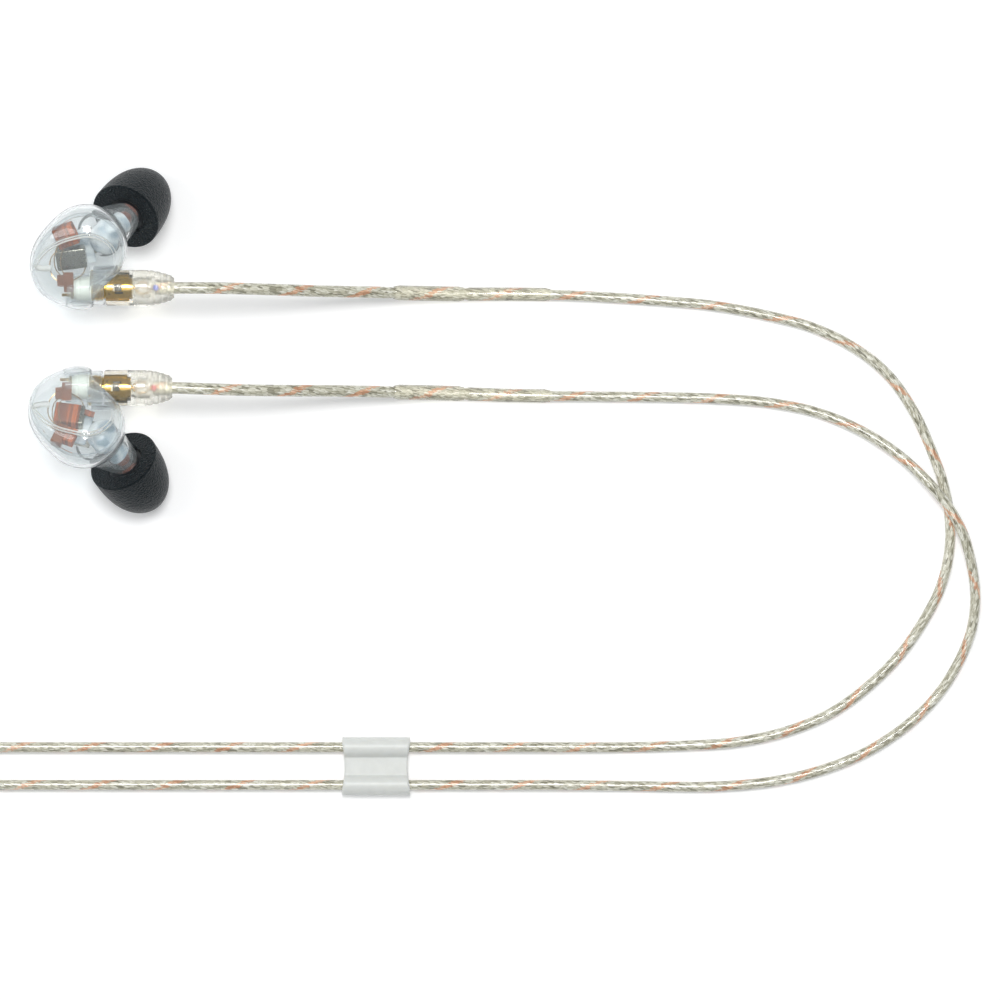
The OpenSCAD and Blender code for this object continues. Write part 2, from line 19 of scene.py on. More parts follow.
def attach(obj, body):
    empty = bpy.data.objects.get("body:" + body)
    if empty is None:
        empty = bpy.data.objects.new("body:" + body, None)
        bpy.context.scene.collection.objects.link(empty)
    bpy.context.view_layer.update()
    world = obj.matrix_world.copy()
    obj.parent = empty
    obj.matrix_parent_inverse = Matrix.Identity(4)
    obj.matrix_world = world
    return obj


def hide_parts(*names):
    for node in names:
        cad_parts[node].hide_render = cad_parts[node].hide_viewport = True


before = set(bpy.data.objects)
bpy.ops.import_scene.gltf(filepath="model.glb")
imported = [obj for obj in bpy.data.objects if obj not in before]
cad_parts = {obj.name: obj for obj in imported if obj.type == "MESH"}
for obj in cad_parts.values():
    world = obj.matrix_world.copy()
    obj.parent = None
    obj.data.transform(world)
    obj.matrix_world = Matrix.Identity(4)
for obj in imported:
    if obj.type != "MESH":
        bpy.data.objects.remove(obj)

MM = 0.001
MIX_FACTOR, MIX_A, MIX_B, MIX_COLOUR = 0, 6, 7, 2  # the Mix node's sockets for colours
Profile = Sequence[tuple[float, float]]
log = logging.getLogger("scene")


# ---------------------------------------------------------------- finishes


class Graph:
    """A material's node tree, with short calls for adding and joining nodes."""

    def __init__(self, name: str) -> None:
        """Starts an empty node tree with an output.

        Args:
            name: the material's name.
        """
        self.material = bpy.data.materials.new(name)
        self.material.use_nodes = True
        self.tree = self.material.node_tree
        self.tree.nodes.clear()
        self.output = self.tree.nodes.new("ShaderNodeOutputMaterial")

    def node(self, kind: str, **values: object) -> bpy.types.Node:
        """Adds a node.

        Args:
            kind: node type without its ShaderNode prefix.
            values: socket values by name with underscores for spaces, or links to take them from.

        Returns:
            The new node.
        """
        made = self.tree.nodes.new("ShaderNode" + kind)
        for name, value in values.items():
            socket = self._socket(made, name)
            if socket is None:
                setattr(made, name, value)
            elif isinstance(value, bpy.types.NodeSocket):
                self.tree.links.new(value, socket)
            else:
                socket.default_value = value
        return made

    @staticmethod
    def _socket(node: bpy.types.Node, name: str) -> bpy.types.NodeSocket | None:
        """Finds an input by its name, or by its number as in "in_0"."""
        if name.startswith("in_"):
            return node.inputs[int(name.removeprefix("in_"))]
        return node.inputs.get(name.replace("_", " "))

    def place(self, scale: Sequence[float] | float = 1.0, uv: bool = False) -> bpy.types.NodeSocket:
        """Gives texture coordinates in millimetres.

        Args:
            scale: factor on the coordinates, one number or three.
            uv: True for the piece's own UV map, and False for object coordinates.

        Returns:
            The vector to plug into a texture.
        """
        factors = [scale] * 3 if isinstance(scale, (int, float)) else list(scale)
        if not uv:
            factors = [f / MM for f in factors]
        source = self.node("TexCoord").outputs["UV" if uv else "Object"]
        mapping = self.node("Mapping", Vector=source, Scale=factors)
        return mapping.outputs["Vector"]

    def noise(self, scale: float, detail: float = 3.0, where: object = None) -> bpy.types.NodeSocket:
        """Gives a noise value.

        Args:
            scale: cells per millimetre.
            detail: number of octaves.
            where: texture coordinates in millimetres, or None for object coordinates.

        Returns:
            The factor socket.
        """
        vector = where if where is not None else self.place()
        return self.node("TexNoise", Vector=vector, Scale=scale, Detail=detail).outputs["Fac"]

    def ramp(self, value: object, stops: Sequence[tuple[float, Sequence[float]]]) -> bpy.types.NodeSocket:
        """Maps a value to a colour.

        Args:
            value: the socket to map.
            stops: position and colour of each stop.

        Returns:
            The colour socket.
        """
        made = self.node("ValToRGB", Fac=value)
        ramp = made.color_ramp
        while len(ramp.elements) < len(stops):
            ramp.elements.new(0.5)
        for element, (position, colour) in zip(ramp.elements, stops):
            element.position = position
            element.color = (*colour[:3], 1.0)
        return made.outputs["Color"]

    def math(self, operation: str, a: object, b: object = 0.0, c: object = 0.0) -> bpy.types.NodeSocket:
        """Adds a maths node and returns its value."""
        return self.node("Math", operation=operation, in_0=a, in_1=b, in_2=c).outputs["Value"]

    def mix(self, factor: object, a: object, b: object, blend: str = "MIX") -> bpy.types.NodeSocket:
        """Mixes two colours.

        Args:
            factor: share of the second colour.
            a: the first colour.
            b: the second colour.
            blend: how they mix, as a blend type.

        Returns:
            The colour socket.
        """
        made = self.node("Mix", data_type="RGBA", blend_type=blend)
        for index, value in ((MIX_FACTOR, factor), (MIX_A, a), (MIX_B, b)):
            if isinstance(value, bpy.types.NodeSocket):
                self.tree.links.new(value, made.inputs[index])
            else:
                made.inputs[index].default_value = value if index == MIX_FACTOR else (*value[:3], 1.0)
        return made.outputs[MIX_COLOUR]

    def bump(self, height: object, strength: float, distance: float) -> bpy.types.NodeSocket:
        """Turns a height into a normal.

        Args:
            height: the height socket.
            strength: share of the bump that is used.
            distance: depth of the bump in millimetres.

        Returns:
            The normal socket.
        """
        return self.node(
            "Bump", Height=height, Strength=strength, Distance=distance * MM
        ).outputs["Normal"]

    def principled(self, **values: object) -> bpy.types.NodeSocket:
        """Adds a Principled shader with these socket values and returns its output."""
        return self.node("BsdfPrincipled", **values).outputs[0]

    def shader_mix(self, factor: object, a: object, b: object) -> bpy.types.NodeSocket:
        """Mixes two shaders and returns the result."""
        return self.node("MixShader", Fac=factor, in_1=a, in_2=b).outputs[0]

    def close(self, shader: bpy.types.NodeSocket) -> bpy.types.Material:
        """Joins the shader to the output and returns the material."""
        self.tree.links.new(shader, self.output.inputs["Surface"])
        return self.material


@dataclass(frozen=True)
class Finish:
    """A material of the object, and the record's slot that it stands for."""

    slot: str

    def build(self) -> bpy.types.Material:
        """Makes the material."""
        raise NotImplementedError


@dataclass(frozen=True)
class Clear(Finish):
    """Clear moulded plastic that lets light through to what lies behind it."""

    tint: tuple[float, float, float] = (0.97, 0.985, 0.99)
    roughness: float = 0.03
    ior: float = 1.47
    haze: float = 0.05
    milk: tuple[float, float, float] = (0.80, 0.84, 0.85)
    waviness: float = 0.02
    clear_to: float | None = None

    def build(self) -> bpy.types.Material:
        """Makes refracting plastic with faint flow marks, transparent to shadow rays.

        Where clear_to is set, the haze begins at that X in millimetres.

        Returns:
            The material.
        """
        g = Graph(self.slot)
        flow = g.noise(0.35, 2.0)
        rough = g.math("MULTIPLY_ADD", g.noise(1.3), self.roughness, self.roughness * 0.6)
        glass = g.principled(
            Base_Color=(*self.tint, 1.0),
            Roughness=rough,
            IOR=self.ior,
            Transmission_Weight=1.0,
            Normal=g.bump(flow, self.waviness, 1.0),
        )
        milk = g.principled(Base_Color=(*self.milk, 1.0), Roughness=0.3, Coat_Weight=0.5)
        cloud = g.math("MULTIPLY_ADD", flow, self.haze, self.haze * 0.5)
        if self.clear_to is not None:
            across = g.node("SeparateXYZ", Vector=g.place()).outputs[0]
            share = g.node(
                "MapRange", Value=across, in_1=self.clear_to, in_2=self.clear_to + 1.0, in_3=0.2
            )
            cloud = g.math("MULTIPLY", cloud, share.outputs[0])
        hazy = g.shader_mix(cloud, glass, milk)
        through = g.node("BsdfTransparent", Color=(*[c * 0.96 for c in self.tint], 1.0))
        shadow = g.node("LightPath").outputs["Is Shadow Ray"]
        return g.close(g.shader_mix(shadow, hazy, through.outputs[0]))


@dataclass(frozen=True)
class Braid(Finish):
    """Silvery strands with one copper strand winding round, under a clear jacket.

    The UV map runs round the cable from 0 to 1, and along it in millimetres.
    """

    pitch: float = 13.1
    strands: float = 24.0
    lay: float = -0.5
    stretch: float = 0.9
    copper_half: float = 0.115
    ragged: float = 0.09

    def build(self) -> bpy.types.Material:
        """Makes the strands from stretched cells, and the jacket from a clear coat.

        Returns:
            The material.
        """
        g = Graph(self.slot)
        split = g.node("SeparateXYZ", Vector=g.place(uv=True))
        around, along = split.outputs[0], split.outputs[1]
        wind = g.math("MULTIPLY_ADD", along, 1.0 / self.pitch, around)
        lay = g.math("MULTIPLY_ADD", along, self.lay, g.math("MULTIPLY", around, self.strands))
        place = g.node("CombineXYZ", X=lay, Y=g.math("MULTIPLY", along, self.stretch)).outputs[0]
        pattern = {"Vector": place, "Scale": 1.0, "Randomness": 0.75}
        cells = g.node("TexVoronoi", **pattern, feature="F1")
        edge = g.node("TexVoronoi", **pattern, feature="DISTANCE_TO_EDGE").outputs["Distance"]
        tone = g.node("SeparateColor", Color=cells.outputs["Color"]).outputs[0]
        silver = g.ramp(
            tone,
            [
                (0.0, (0.22, 0.21, 0.15)),
                (0.2, (0.46, 0.44, 0.33)),
                (0.5, (0.69, 0.67, 0.54)),
                (1.0, (0.90, 0.89, 0.79)),
            ],
        )
        copper = g.ramp(
            tone, [(0.0, (0.5, 0.24, 0.13)), (0.5, (0.85, 0.5, 0.32)), (1.0, (0.97, 0.76, 0.58))]
        )
        turn = g.math("FRACT", wind)
        off = g.math("ABSOLUTE", g.math("SUBTRACT", turn, 0.5))
        patch = g.math("LESS_THAN", g.math("MULTIPLY_ADD", tone, self.ragged, off), self.copper_half)
        colour = g.mix(patch, silver, copper)
        gap = g.ramp(edge, [(0.0, (0.52, 0.5, 0.42)), (0.16, (1.0, 1.0, 1.0))])
        height = g.math("MINIMUM", edge, 0.3)
        shader = g.principled(
            Base_Color=g.mix(0.65, colour, gap, "MULTIPLY"),
            Metallic=0.1,
            Roughness=0.42,
            Coat_Weight=1.0,
            Coat_Roughness=0.06,
            Coat_IOR=1.5,
            Normal=g.bump(height, 0.8, 0.12),
        )
        return g.close(shader)


@dataclass(frozen=True)
class Sponge(Finish):
    """Slow-recovery foam with fine open cells; the cut base, smoother on the real tip, has the same grain
    as the side.
    """

    colour: tuple[float, float, float] = (0.004, 0.0075, 0.010)

    def build(self) -> bpy.types.Material:
        """Makes dark foam with grain and a soft sheen.

        Returns:
            The material.
        """
        g = Graph(self.slot)
        where = g.place()
        grain = g.node(
            "TexVoronoi", Vector=where, Scale=2.7, Randomness=1.0, feature="F1"
        ).outputs["Distance"]
        cloud = g.noise(1.2, 4.0, where)
        dark = [c * 0.65 for c in self.colour]
        light = [c * 1.9 for c in self.colour]
        colour = g.ramp(cloud, [(0.3, dark), (0.55, self.colour), (0.75, light)])
        height = g.math("ADD", grain, g.math("MULTIPLY", g.noise(5.0, 2.0, where), 0.8))
        shader = g.principled(
            Base_Color=colour,
            Roughness=0.36,
            Specular_IOR_Level=0.26,
            Specular_Tint=(0.82, 0.95, 1.0, 1.0),
            Sheen_Weight=0.03,
            Sheen_Roughness=0.4,
            Normal=g.bump(height, 1.0, 0.4),
        )
        return g.close(shader)


@dataclass(frozen=True)
class Metal(Finish):
    """Plated or plain metal with fine turning marks."""

    colour: tuple[float, float, float] = (0.83, 0.61, 0.22)
    roughness: float = 0.18
    marks: float = 14.0
    axis: int = 0

    def build(self) -> bpy.types.Material:
        """Makes metal whose roughness varies and whose marks run across one axis.

        Returns:
            The material.
        """
        g = Graph(self.slot)
        scale = [0.6, 0.6, 0.6]
        scale[self.axis] = self.marks
        lines = g.noise(1.0, 2.0, g.place(scale))
        rough = g.math("MULTIPLY_ADD", g.noise(2.2), 0.16, self.roughness * 0.6)
        warm = g.mix(g.noise(0.7), self.colour, [c * 0.82 for c in self.colour])
        shader = g.principled(
            Base_Color=warm,
            Metallic=1.0,
            Roughness=rough,
            Normal=g.bump(lines, 0.25, 0.02),
        )
        return g.close(shader)


@dataclass(frozen=True)
class Moulded(Finish):
    """Opaque or milky plastic or rubber with a fine grain."""

    colour: tuple[float, float, float] = (0.8, 0.8, 0.78)
    roughness: float = 0.4
    grain: float = 6.0
    relief: float = 0.02
    milk: float = 0.0
    through: float = 0.0
    blotch: tuple[float, float, float] | None = None

    def build(self) -> bpy.types.Material:
        """Makes plastic with mottling, grain and, where milky, light that soaks in.

        Returns:
            The material.
        """
        g = Graph(self.slot)
        mottle = g.mix(g.noise(0.6), self.colour, [c * 0.86 for c in self.colour])
        if self.blotch:
            mottle = g.ramp(g.noise(0.38, 1.0), [(0.36, self.colour), (0.62, self.blotch)])
        shader = g.principled(
            Base_Color=mottle,
            Roughness=g.math("MULTIPLY_ADD", g.noise(1.7), 0.12, self.roughness - 0.06),
            Subsurface_Weight=self.milk,
            Subsurface_Radius=(1.0, 0.95, 0.85),
            Subsurface_Scale=1.2 * MM,
            Transmission_Weight=self.through,
            IOR=1.45,
            Normal=g.bump(g.noise(self.grain), 0.4, self.relief),
        )
        return g.close(shader)


@dataclass(frozen=True)
class Tape(Finish):
    """Copper-brown polyimide tape wound in narrow bands round a driver.

    The UV map is the driver's own length and width in millimetres.
    """

    dark: tuple[float, float, float] = (0.13, 0.035, 0.012)
    light: tuple[float, float, float] = (0.33, 0.08, 0.016)
    bands: float = 2.2

    def build(self) -> bpy.types.Material:
        """Makes glossy bands that differ in tone, with thin darker laps.

        Returns:
            The material.
        """
        g = Graph(self.slot)
        split = g.node("SeparateXYZ", Vector=g.place(uv=True))
        run = g.math("MULTIPLY", split.outputs[0], self.bands)
        lap = g.math("ABSOLUTE", g.math("SUBTRACT", g.math("FRACT", run), 0.5))
        tone = g.node("TexWhiteNoise", noise_dimensions="1D", W=g.math("FLOOR", run))
        band = g.ramp(
            g.math("MULTIPLY_ADD", tone.outputs["Value"], 0.6, g.math("MULTIPLY", g.noise(0.9), 0.4)),
            [(0.15, self.dark), (0.5, self.light), (0.9, [min(1.0, c * 1.7) for c in self.light])],
        )
        edge = g.math("GREATER_THAN", lap, 0.44)
        shader = g.principled(
            Base_Color=g.mix(edge, band, self.dark),
            Metallic=0.1,
            Roughness=0.5,
            Specular_IOR_Level=0.2,
            Normal=g.bump(lap, 0.3, 0.05),
        )
        return g.close(shader)


@dataclass(frozen=True)
class Mesh(Finish):
    """Woven steel mesh or webbing, as crossed waves."""

    colour: tuple[float, float, float] = (0.5, 0.52, 0.54)
    metallic: float = 1.0
    pitch: float = 3.2

    def build(self) -> bpy.types.Material:
        """Makes a weave that is dark between its threads.

        Returns:
            The material.
        """
        g = Graph(self.slot)
        split = g.node("SeparateXYZ", Vector=g.place(self.pitch * 2 * math.pi))
        a = g.math("SINE", g.math("ADD", split.outputs[0], split.outputs[2]))
        b = g.math("SINE", split.outputs[1])
        height = g.math("MULTIPLY_ADD", g.math("MULTIPLY", a, b), 0.5, 0.5)
        colour = g.ramp(height, [(0.1, [c * 0.25 for c in self.colour]), (0.7, self.colour)])
        shader = g.principled(
            Base_Color=colour,
            Metallic=self.metallic,
            Roughness=0.45,
            Normal=g.bump(height, 0.6, 0.12),
        )
        return g.close(shader)


GOLD = (0.70, 0.46, 0.10)
FINISHES: dict[str, Finish] = {
    f.slot: f
    for f in (
        Clear("clear_shell", tint=(0.90, 0.922, 0.928), roughness=0.02, haze=0.10),
        Clear(
            "clear_housing", (0.955, 0.945, 0.90), 0.05, haze=0.3, milk=(0.88, 0.87, 0.79), clear_to=5.6
        ),
        Clear("clear_sleeve", (0.95, 0.94, 0.90), 0.10, haze=0.12, milk=(0.88, 0.87, 0.79)),
        Braid("braided_cable"),
        Sponge("foam"),
        Metal("gold", GOLD, 0.15),
        Metal("spring_bronze", (0.72, 0.48, 0.22), 0.28),
        Metal("driver_can", (0.34, 0.33, 0.27), 0.34, 3.0),
        Mesh("steel_mesh"),
        Mesh("strap", (0.05, 0.05, 0.055), 0.0, 1.1),
        Moulded("brown_damper", (0.19, 0.05, 0.025), 0.35),
        Moulded("core_rubber", (0.02, 0.022, 0.025), 0.22),
        Moulded("cradle", (0.26, 0.34, 0.39), 0.15, milk=0.1, through=0.2, blotch=(0.84, 0.88, 0.89)),
        Moulded("flex_board", (0.22, 0.075, 0.03), 0.3, 2.0),
        Moulded("white_insulator", (0.88, 0.85, 0.72), 0.35, milk=0.2),
        Moulded("marker_blue", (0.02, 0.07, 0.6), 0.3),
        Moulded("marker_red", (0.7, 0.012, 0.012), 0.3),
        Moulded("milky_plastic", (0.86, 0.875, 0.84), 0.38, 4.0, 0.03, milk=0.35, through=0.12),
        Moulded("black_moulding", (0.018, 0.018, 0.02), 0.42, 7.0, 0.06),
        Moulded("black_band", (0.012, 0.012, 0.012), 0.3),
        Tape("copper_tape"),
    )
}


class Wardrobe:
    """Makes each finish once, when a piece first asks for it."""

    def __init__(self) -> None:
        """Starts with nothing made."""
        self._made: dict[str, bpy.types.Material] = {}

    def get(self, slot: str) -> bpy.types.Material:
        """Returns the material of a slot.

        Args:
            slot: name of the record's material slot.

        Returns:
            The material.
        """
        if slot not in self._made:
            self._made[slot] = FINISHES[slot].build()
        return self._made[slot]

    def dress_cad(self, node: str, slot: str) -> None:
        """Gives a carried-over CAD node its finish.

        Args:
            node: the node's name.
            slot: name of the record's material slot.
        """
        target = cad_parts[node]
        target.data.materials.clear()
        target.data.materials.append(self.get(slot))


WARDROBE = Wardrobe()


# ---------------------------------------------------------------- shapes


def share_of(value: float) -> float:
    """Keeps a value between 0 and 1."""
    return max(0.0, min(1.0, value))


def eased(value: float) -> float:
    """Keeps a value between 0 and 1, and makes it leave and arrive softly."""
    t = share_of(value)
    return t * t * (3 - 2 * t)


def linked(name: str, data: bpy.types.ID) -> bpy.types.Object:
    """Makes an object of some data and puts it in the scene."""
    thing = bpy.data.objects.new(name, data)
    bpy.context.scene.collection.objects.link(thing)
    return thing


def edges_along(bm: bmesh.types.BMesh, axis: int, least: float = 1.0) -> list[bmesh.types.BMEdge]:
    """Lists the edges that reach further than some length along an axis."""
    return [e for e in bm.edges if abs(e.verts[0].co[axis] - e.verts[1].co[axis]) > least]


def spun(profile: Profile, steps: int = 64, closed: bool = False) -> bmesh.types.BMesh:
    """Spins a profile round the Z axis.

    Args:
        profile: pairs of radius and height.
        steps: number of steps round the axis.
        closed: True joins the last point to the first, for a ring.

    Returns:
        The mesh, closed at any pole.
    """
    bm = bmesh.new()
    points = [bm.verts.new((r, 0.0, s)) for r, s in profile]
    pairs = list(zip(points, points[1:]))
    if closed:
        pairs.append((points[-1], points[0]))
    for a, b in pairs:
        bm.edges.new((a, b))
    bmesh.ops.spin(
        bm,
        geom=bm.verts[:] + bm.edges[:],
        cent=(0, 0, 0),
        axis=(0, 0, 1),
        angle=2 * math.pi,
        steps=steps,
        use_merge=True,
    )
    bmesh.ops.remove_doubles(bm, verts=bm.verts, dist=1e-5)
    bmesh.ops.recalc_face_normals(bm, faces=bm.faces)
    return bm


def rounded_block(size: Sequence[float], radius: float, segments: int = 3) -> bmesh.types.BMesh:
    """Makes a box about its centre, with rounded edges and its own length and width as UV.

    Args:
        size: length, width and height.
        radius: radius of the edges.
        segments: number of steps round an edge.

    Returns:
        The mesh.
    """
    bm = bmesh.new()
    bmesh.ops.create_cube(bm, size=1.0, matrix=Matrix.Diagonal((*size, 1.0)))
    bmesh.ops.bevel(
        bm,
        geom=bm.edges[:],
        offset=radius,
        segments=segments,
        profile=0.5,
        affect="EDGES",
        material=-1,
    )
    uv = bm.loops.layers.uv.new("UVMap")
    for face in bm.faces:
        for loop in face.loops:
            loop[uv].uv = (loop.vert.co.x, loop.vert.co.y)
    return bm


def merged(meshes: Iterable[bmesh.types.BMesh]) -> bmesh.types.BMesh:
    """Puts several meshes into one and frees them.

    Args:
        meshes: the meshes to join.

    Returns:
        The joined mesh.
    """
    whole = bmesh.new()
    for bm in meshes:
        part = bpy.data.meshes.new("part")
        bm.to_mesh(part)
        bm.free()
        whole.from_mesh(part)
        bpy.data.meshes.remove(part)
    return whole


def placed(bm: bmesh.types.BMesh, place: Matrix) -> bmesh.types.BMesh:
    """Moves a mesh, and turns its faces over where the place mirrors it.

    Args:
        bm: the mesh to move.
        place: where it goes.

    Returns:
        The same mesh.
    """
    bmesh.ops.transform(bm, matrix=place, verts=bm.verts)
    if place.determinant() < 0:
        bmesh.ops.reverse_faces(bm, faces=bm.faces)
    return bm


def combined(
    a: bmesh.types.BMesh, b: bmesh.types.BMesh, operation: str
) -> bmesh.types.BMesh:
    """Adds, cuts or intersects two solids, and frees both.

    Args:
        a: the first solid.
        b: the second solid.
        operation: UNION, DIFFERENCE or INTERSECT.

    Returns:
        The new solid.
    """
    things = []
    for bm in (a, b):
        mesh = bpy.data.meshes.new("solid")
        bm.to_mesh(mesh)
        bm.free()
        things.append(linked("solid", mesh))
    modifier = things[0].modifiers.new("cut", "BOOLEAN")
    modifier.operation = operation
    modifier.solver = "EXACT"
    modifier.object = things[1]
    evaluated = things[0].evaluated_get(bpy.context.evaluated_depsgraph_get())
    result = bmesh.new()
    result.from_mesh(evaluated.to_mesh())
    evaluated.to_mesh_clear()
    for thing in things:
        mesh = thing.data
        bpy.data.objects.remove(thing)
        bpy.data.meshes.remove(mesh)
    return result


def make(
    name: str,
    bm: bmesh.types.BMesh,
    slot: str,
    body: str,
    place: Matrix | None = None,
    sharp: float = 35.0,
    stands_for: Sequence[str] = (),
) -> bpy.types.Object:
    """Makes a finished piece that rides on a body.

    Args:
        name: the piece's name.
        bm: its mesh in millimetres, which is freed.
        slot: the record's material slot.
        body: the body that it moves with.
        place: where it goes, or None where it is already in place.
        sharp: angle in degrees above which an edge stays sharp.
        stands_for: the CAD nodes that it replaces.

    Returns:
        The object, at the origin and in metres.
    """
    placed(bm, place or Matrix.Identity(4))
    bmesh.ops.recalc_face_normals(bm, faces=bm.faces)
    bmesh.ops.scale(bm, vec=(MM, MM, MM), verts=bm.verts)
    limit = math.radians(sharp)
    for face in bm.faces:
        face.smooth = True
    for edge in bm.edges:
        edge.smooth = len(edge.link_faces) != 2 or edge.calc_face_angle(0.0) < limit
    mesh = bpy.data.meshes.new(name)
    bm.to_mesh(mesh)
    bm.free()
    mesh.materials.append(WARDROBE.get(slot))
    made = linked(name, mesh)
    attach(made, body)
    if stands_for:
        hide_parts(*stands_for)
    log.info("%s: %d faces", name, len(mesh.polygons))
    return made


# ---------------------------------------------------------------- routes and tubes


def smooth_route(points: Sequence[Sequence[float]], step: float) -> list[Vector]:
    """Runs a smooth line through the points of a route.

    Args:
        points: the route's own points.
        step: distance between the line's points.

    Returns:
        The line's points.
    """
    knots = [Vector(p) for p in points]
    ends = [2 * knots[0] - knots[1], *knots, 2 * knots[-1] - knots[-2]]
    line: list[Vector] = []
    for p0, p1, p2, p3 in zip(ends, ends[1:], ends[2:], ends[3:]):
        t1 = max((p1 - p0).length, 1e-6) ** 0.5
        t2 = t1 + max((p2 - p1).length, 1e-6) ** 0.5
        t3 = t2 + max((p3 - p2).length, 1e-6) ** 0.5
        count = max(1, round((p2 - p1).length / step))
        for i in range(count):
            t = t1 + (t2 - t1) * i / count
            a1 = p0.lerp(p1, t / t1)
            a2 = p1.lerp(p2, (t - t1) / (t2 - t1))
            a3 = p2.lerp(p3, (t - t2) / (t3 - t2))
            b1 = a1.lerp(a2, t / t2)
            b2 = a2.lerp(a3, (t - t1) / (t3 - t1))
            line.append(b1.lerp(b2, (t - t1) / (t2 - t1)))
    line.append(knots[-1])
    return line


def run_length(line: Sequence[Vector]) -> float:
    """Length of a line."""
    return sum((b - a).length for a, b in zip(line, line[1:]))


def tube(
    line: Sequence[Vector], radius: float | Callable[[float], float], sides: int = 16
) -> bmesh.types.BMesh:
    """Rolls a grid into a tube along a line, with closed ends.

    The UV map runs round the tube from 0 to 1, starting underneath, and along it in millimetres.

    Args:
        line: points of the centreline.
        radius: the radius, or a function of the distance along the line.
        sides: number of faces round the tube.

    Returns:
        The mesh.
    """
    lengths = [0.0]
    for a, b in zip(line, line[1:]):
        lengths.append(lengths[-1] + (b - a).length)
    at = radius if callable(radius) else (lambda _s: radius)
    bm = bmesh.new()
    uv = bm.loops.layers.uv.new("UVMap")
    last = len(line) - 1
    bmesh.ops.create_grid(bm, x_segments=sides, y_segments=last, size=0.5)
    for face in bm.faces:
        for loop in face.loops:
            ring = round((loop.vert.co.y + 0.5) * last)
            loop[uv].uv = (loop.vert.co.x + 0.5, lengths[ring])
    for vert in bm.verts:
        ring = round((vert.co.y + 0.5) * last)
        turn = 2 * math.pi * (vert.co.x + 0.5)
        ahead = (line[min(ring + 1, last)] - line[max(ring - 1, 0)]).normalized()
        across = Vector((0, 0, 1)).cross(ahead).normalized()
        down = across.cross(ahead)
        offset = math.cos(turn) * down + math.sin(turn) * across
        vert.co = line[ring] + at(lengths[ring]) * offset
    bmesh.ops.remove_doubles(bm, verts=bm.verts, dist=1e-4)
    open_edges = [e for e in bm.edges if e.is_boundary]
    bmesh.ops.holes_fill(bm, edges=open_edges, sides=0)
    bmesh.ops.recalc_face_normals(bm, faces=bm.faces)
    return bm


class Side(Enum):
    """The two sides of the pair."""

    LEFT = "left"
    RIGHT = "right"

    @property
    def sign(self) -> int:
        """1 on the left side, along +Y, and -1 on the right."""
        return 1 if self is Side.LEFT else -1


TIP_SEAT = Vector((3.6, 10.4, -8.9))
TIP_TILT, TIP_AZIMUTH = 25.5, 22.5
AXIS_HALF_GAP = 9.2
TAIL_X = 12.8


@dataclass(frozen=True)
class Seat:
    """Where one earphone and its plug lie."""

    side: Side
    plug_x: float
    axis_z: float
    roll: float

    def name(self, piece: str) -> str:
        """Name of one of this side's nodes or bodies."""
        return f"{self.side.value}_{piece}"

    @property
    def plug(self) -> Matrix:
        """Place of the plug, which doesn't roll with the earphone."""
        mirror = Matrix.Diagonal((1, self.side.sign, 1, 1))
        return mirror @ Matrix.Translation((self.plug_x, AXIS_HALF_GAP, self.axis_z))

    @property
    def shell(self) -> Matrix:
        """Place of the earphone's own frame."""
        return self.plug @ Matrix.Rotation(math.radians(self.roll), 4, "X")

    @property
    def tip(self) -> Matrix:
        """Place of the foam's base, with +Z along the nozzle."""
        return self.shell @ TIP_PLACE


TIP_PLACE = (
    Matrix.Translation(TIP_SEAT)
    @ Matrix.Rotation(math.radians(TIP_AZIMUTH), 4, "Z")
    @ Matrix.Rotation(math.radians(180 - TIP_TILT), 4, "Y")
)
ALONG_X = Matrix.Rotation(math.pi / 2, 4, "Y")
SEATS = (Seat(Side.LEFT, 0.8, 14.5851, 25.0), Seat(Side.RIGHT, 0.4, 13.0366, 30.0))


# ---------------------------------------------------------------- earphone


@dataclass(frozen=True)
class Lobe:
    """One ellipsoid of a hull: its centre and its semi-axes."""

    centre: tuple[float, float, float]
    axes: tuple[float, float, float]

    def support(self, n: Vector, inset: float) -> tuple[float, Vector]:
        """Gives how far the lobe reaches in a direction, and its point there.

        Args:
            n: the direction, of length 1.
            inset: how far the surface is moved inwards.

        Returns:
            The reach and the point.
        """
        a = Vector(self.axes) - Vector((inset, inset, inset))
        stretched = Vector((a.x * n.x, a.y * n.y, a.z * n.z))
        size = stretched.length
        centre = Vector(self.centre)
        point = centre + Vector((a.x * stretched.x, a.y * stretched.y, a.z * stretched.z)) / size
        return centre.dot(n) + size, point


def soft_hull(
    lobes: Sequence[Lobe], blend: float, around: int, rings: int, inset: float = 0.0
) -> bmesh.types.BMesh:
    """Makes the smooth convex hull of several lobes from a sphere.

    Args:
        lobes: the lobes.
        blend: how softly one lobe passes into the next.
        around: number of faces round the sphere.
        rings: number of faces from pole to pole.
        inset: how far the surface is moved inwards.

    Returns:
        The mesh.
    """
    bm = bmesh.new()
    bmesh.ops.create_uvsphere(bm, u_segments=around, v_segments=rings, radius=1.0)
    for vert in bm.verts:
        n = vert.co.normalized()
        reach = [lobe.support(n, inset) for lobe in lobes]
        top = max(h for h, _p in reach)
        weights = [math.exp((h - top) / blend) for h, _p in reach]
        total = sum(weights)
        point, mean = Vector(), 0.0
        for weight, (h, p) in zip(weights, reach):
            point += p * (weight / total)
            mean += h * weight / total
        vert.co = point + n * (top + blend * math.log(total) - mean)
    return bm


def rod(x0: float, x1: float, radius: float) -> bmesh.types.BMesh:
    """Makes a cylinder along +X from x0 to x1."""
    return placed(spun([(0, x0), (radius, x0), (radius, x1), (0, x1)]), ALONG_X)


def slab(z0: float, z1: float) -> bmesh.types.BMesh:
    """Makes a wide block between two heights."""
    bm = bmesh.new()
    place = Matrix.Translation((0, 0, (z0 + z1) / 2)) @ Matrix.Diagonal((80, 80, z1 - z0, 1))
    bmesh.ops.create_cube(bm, size=1.0, matrix=place)
    return bm


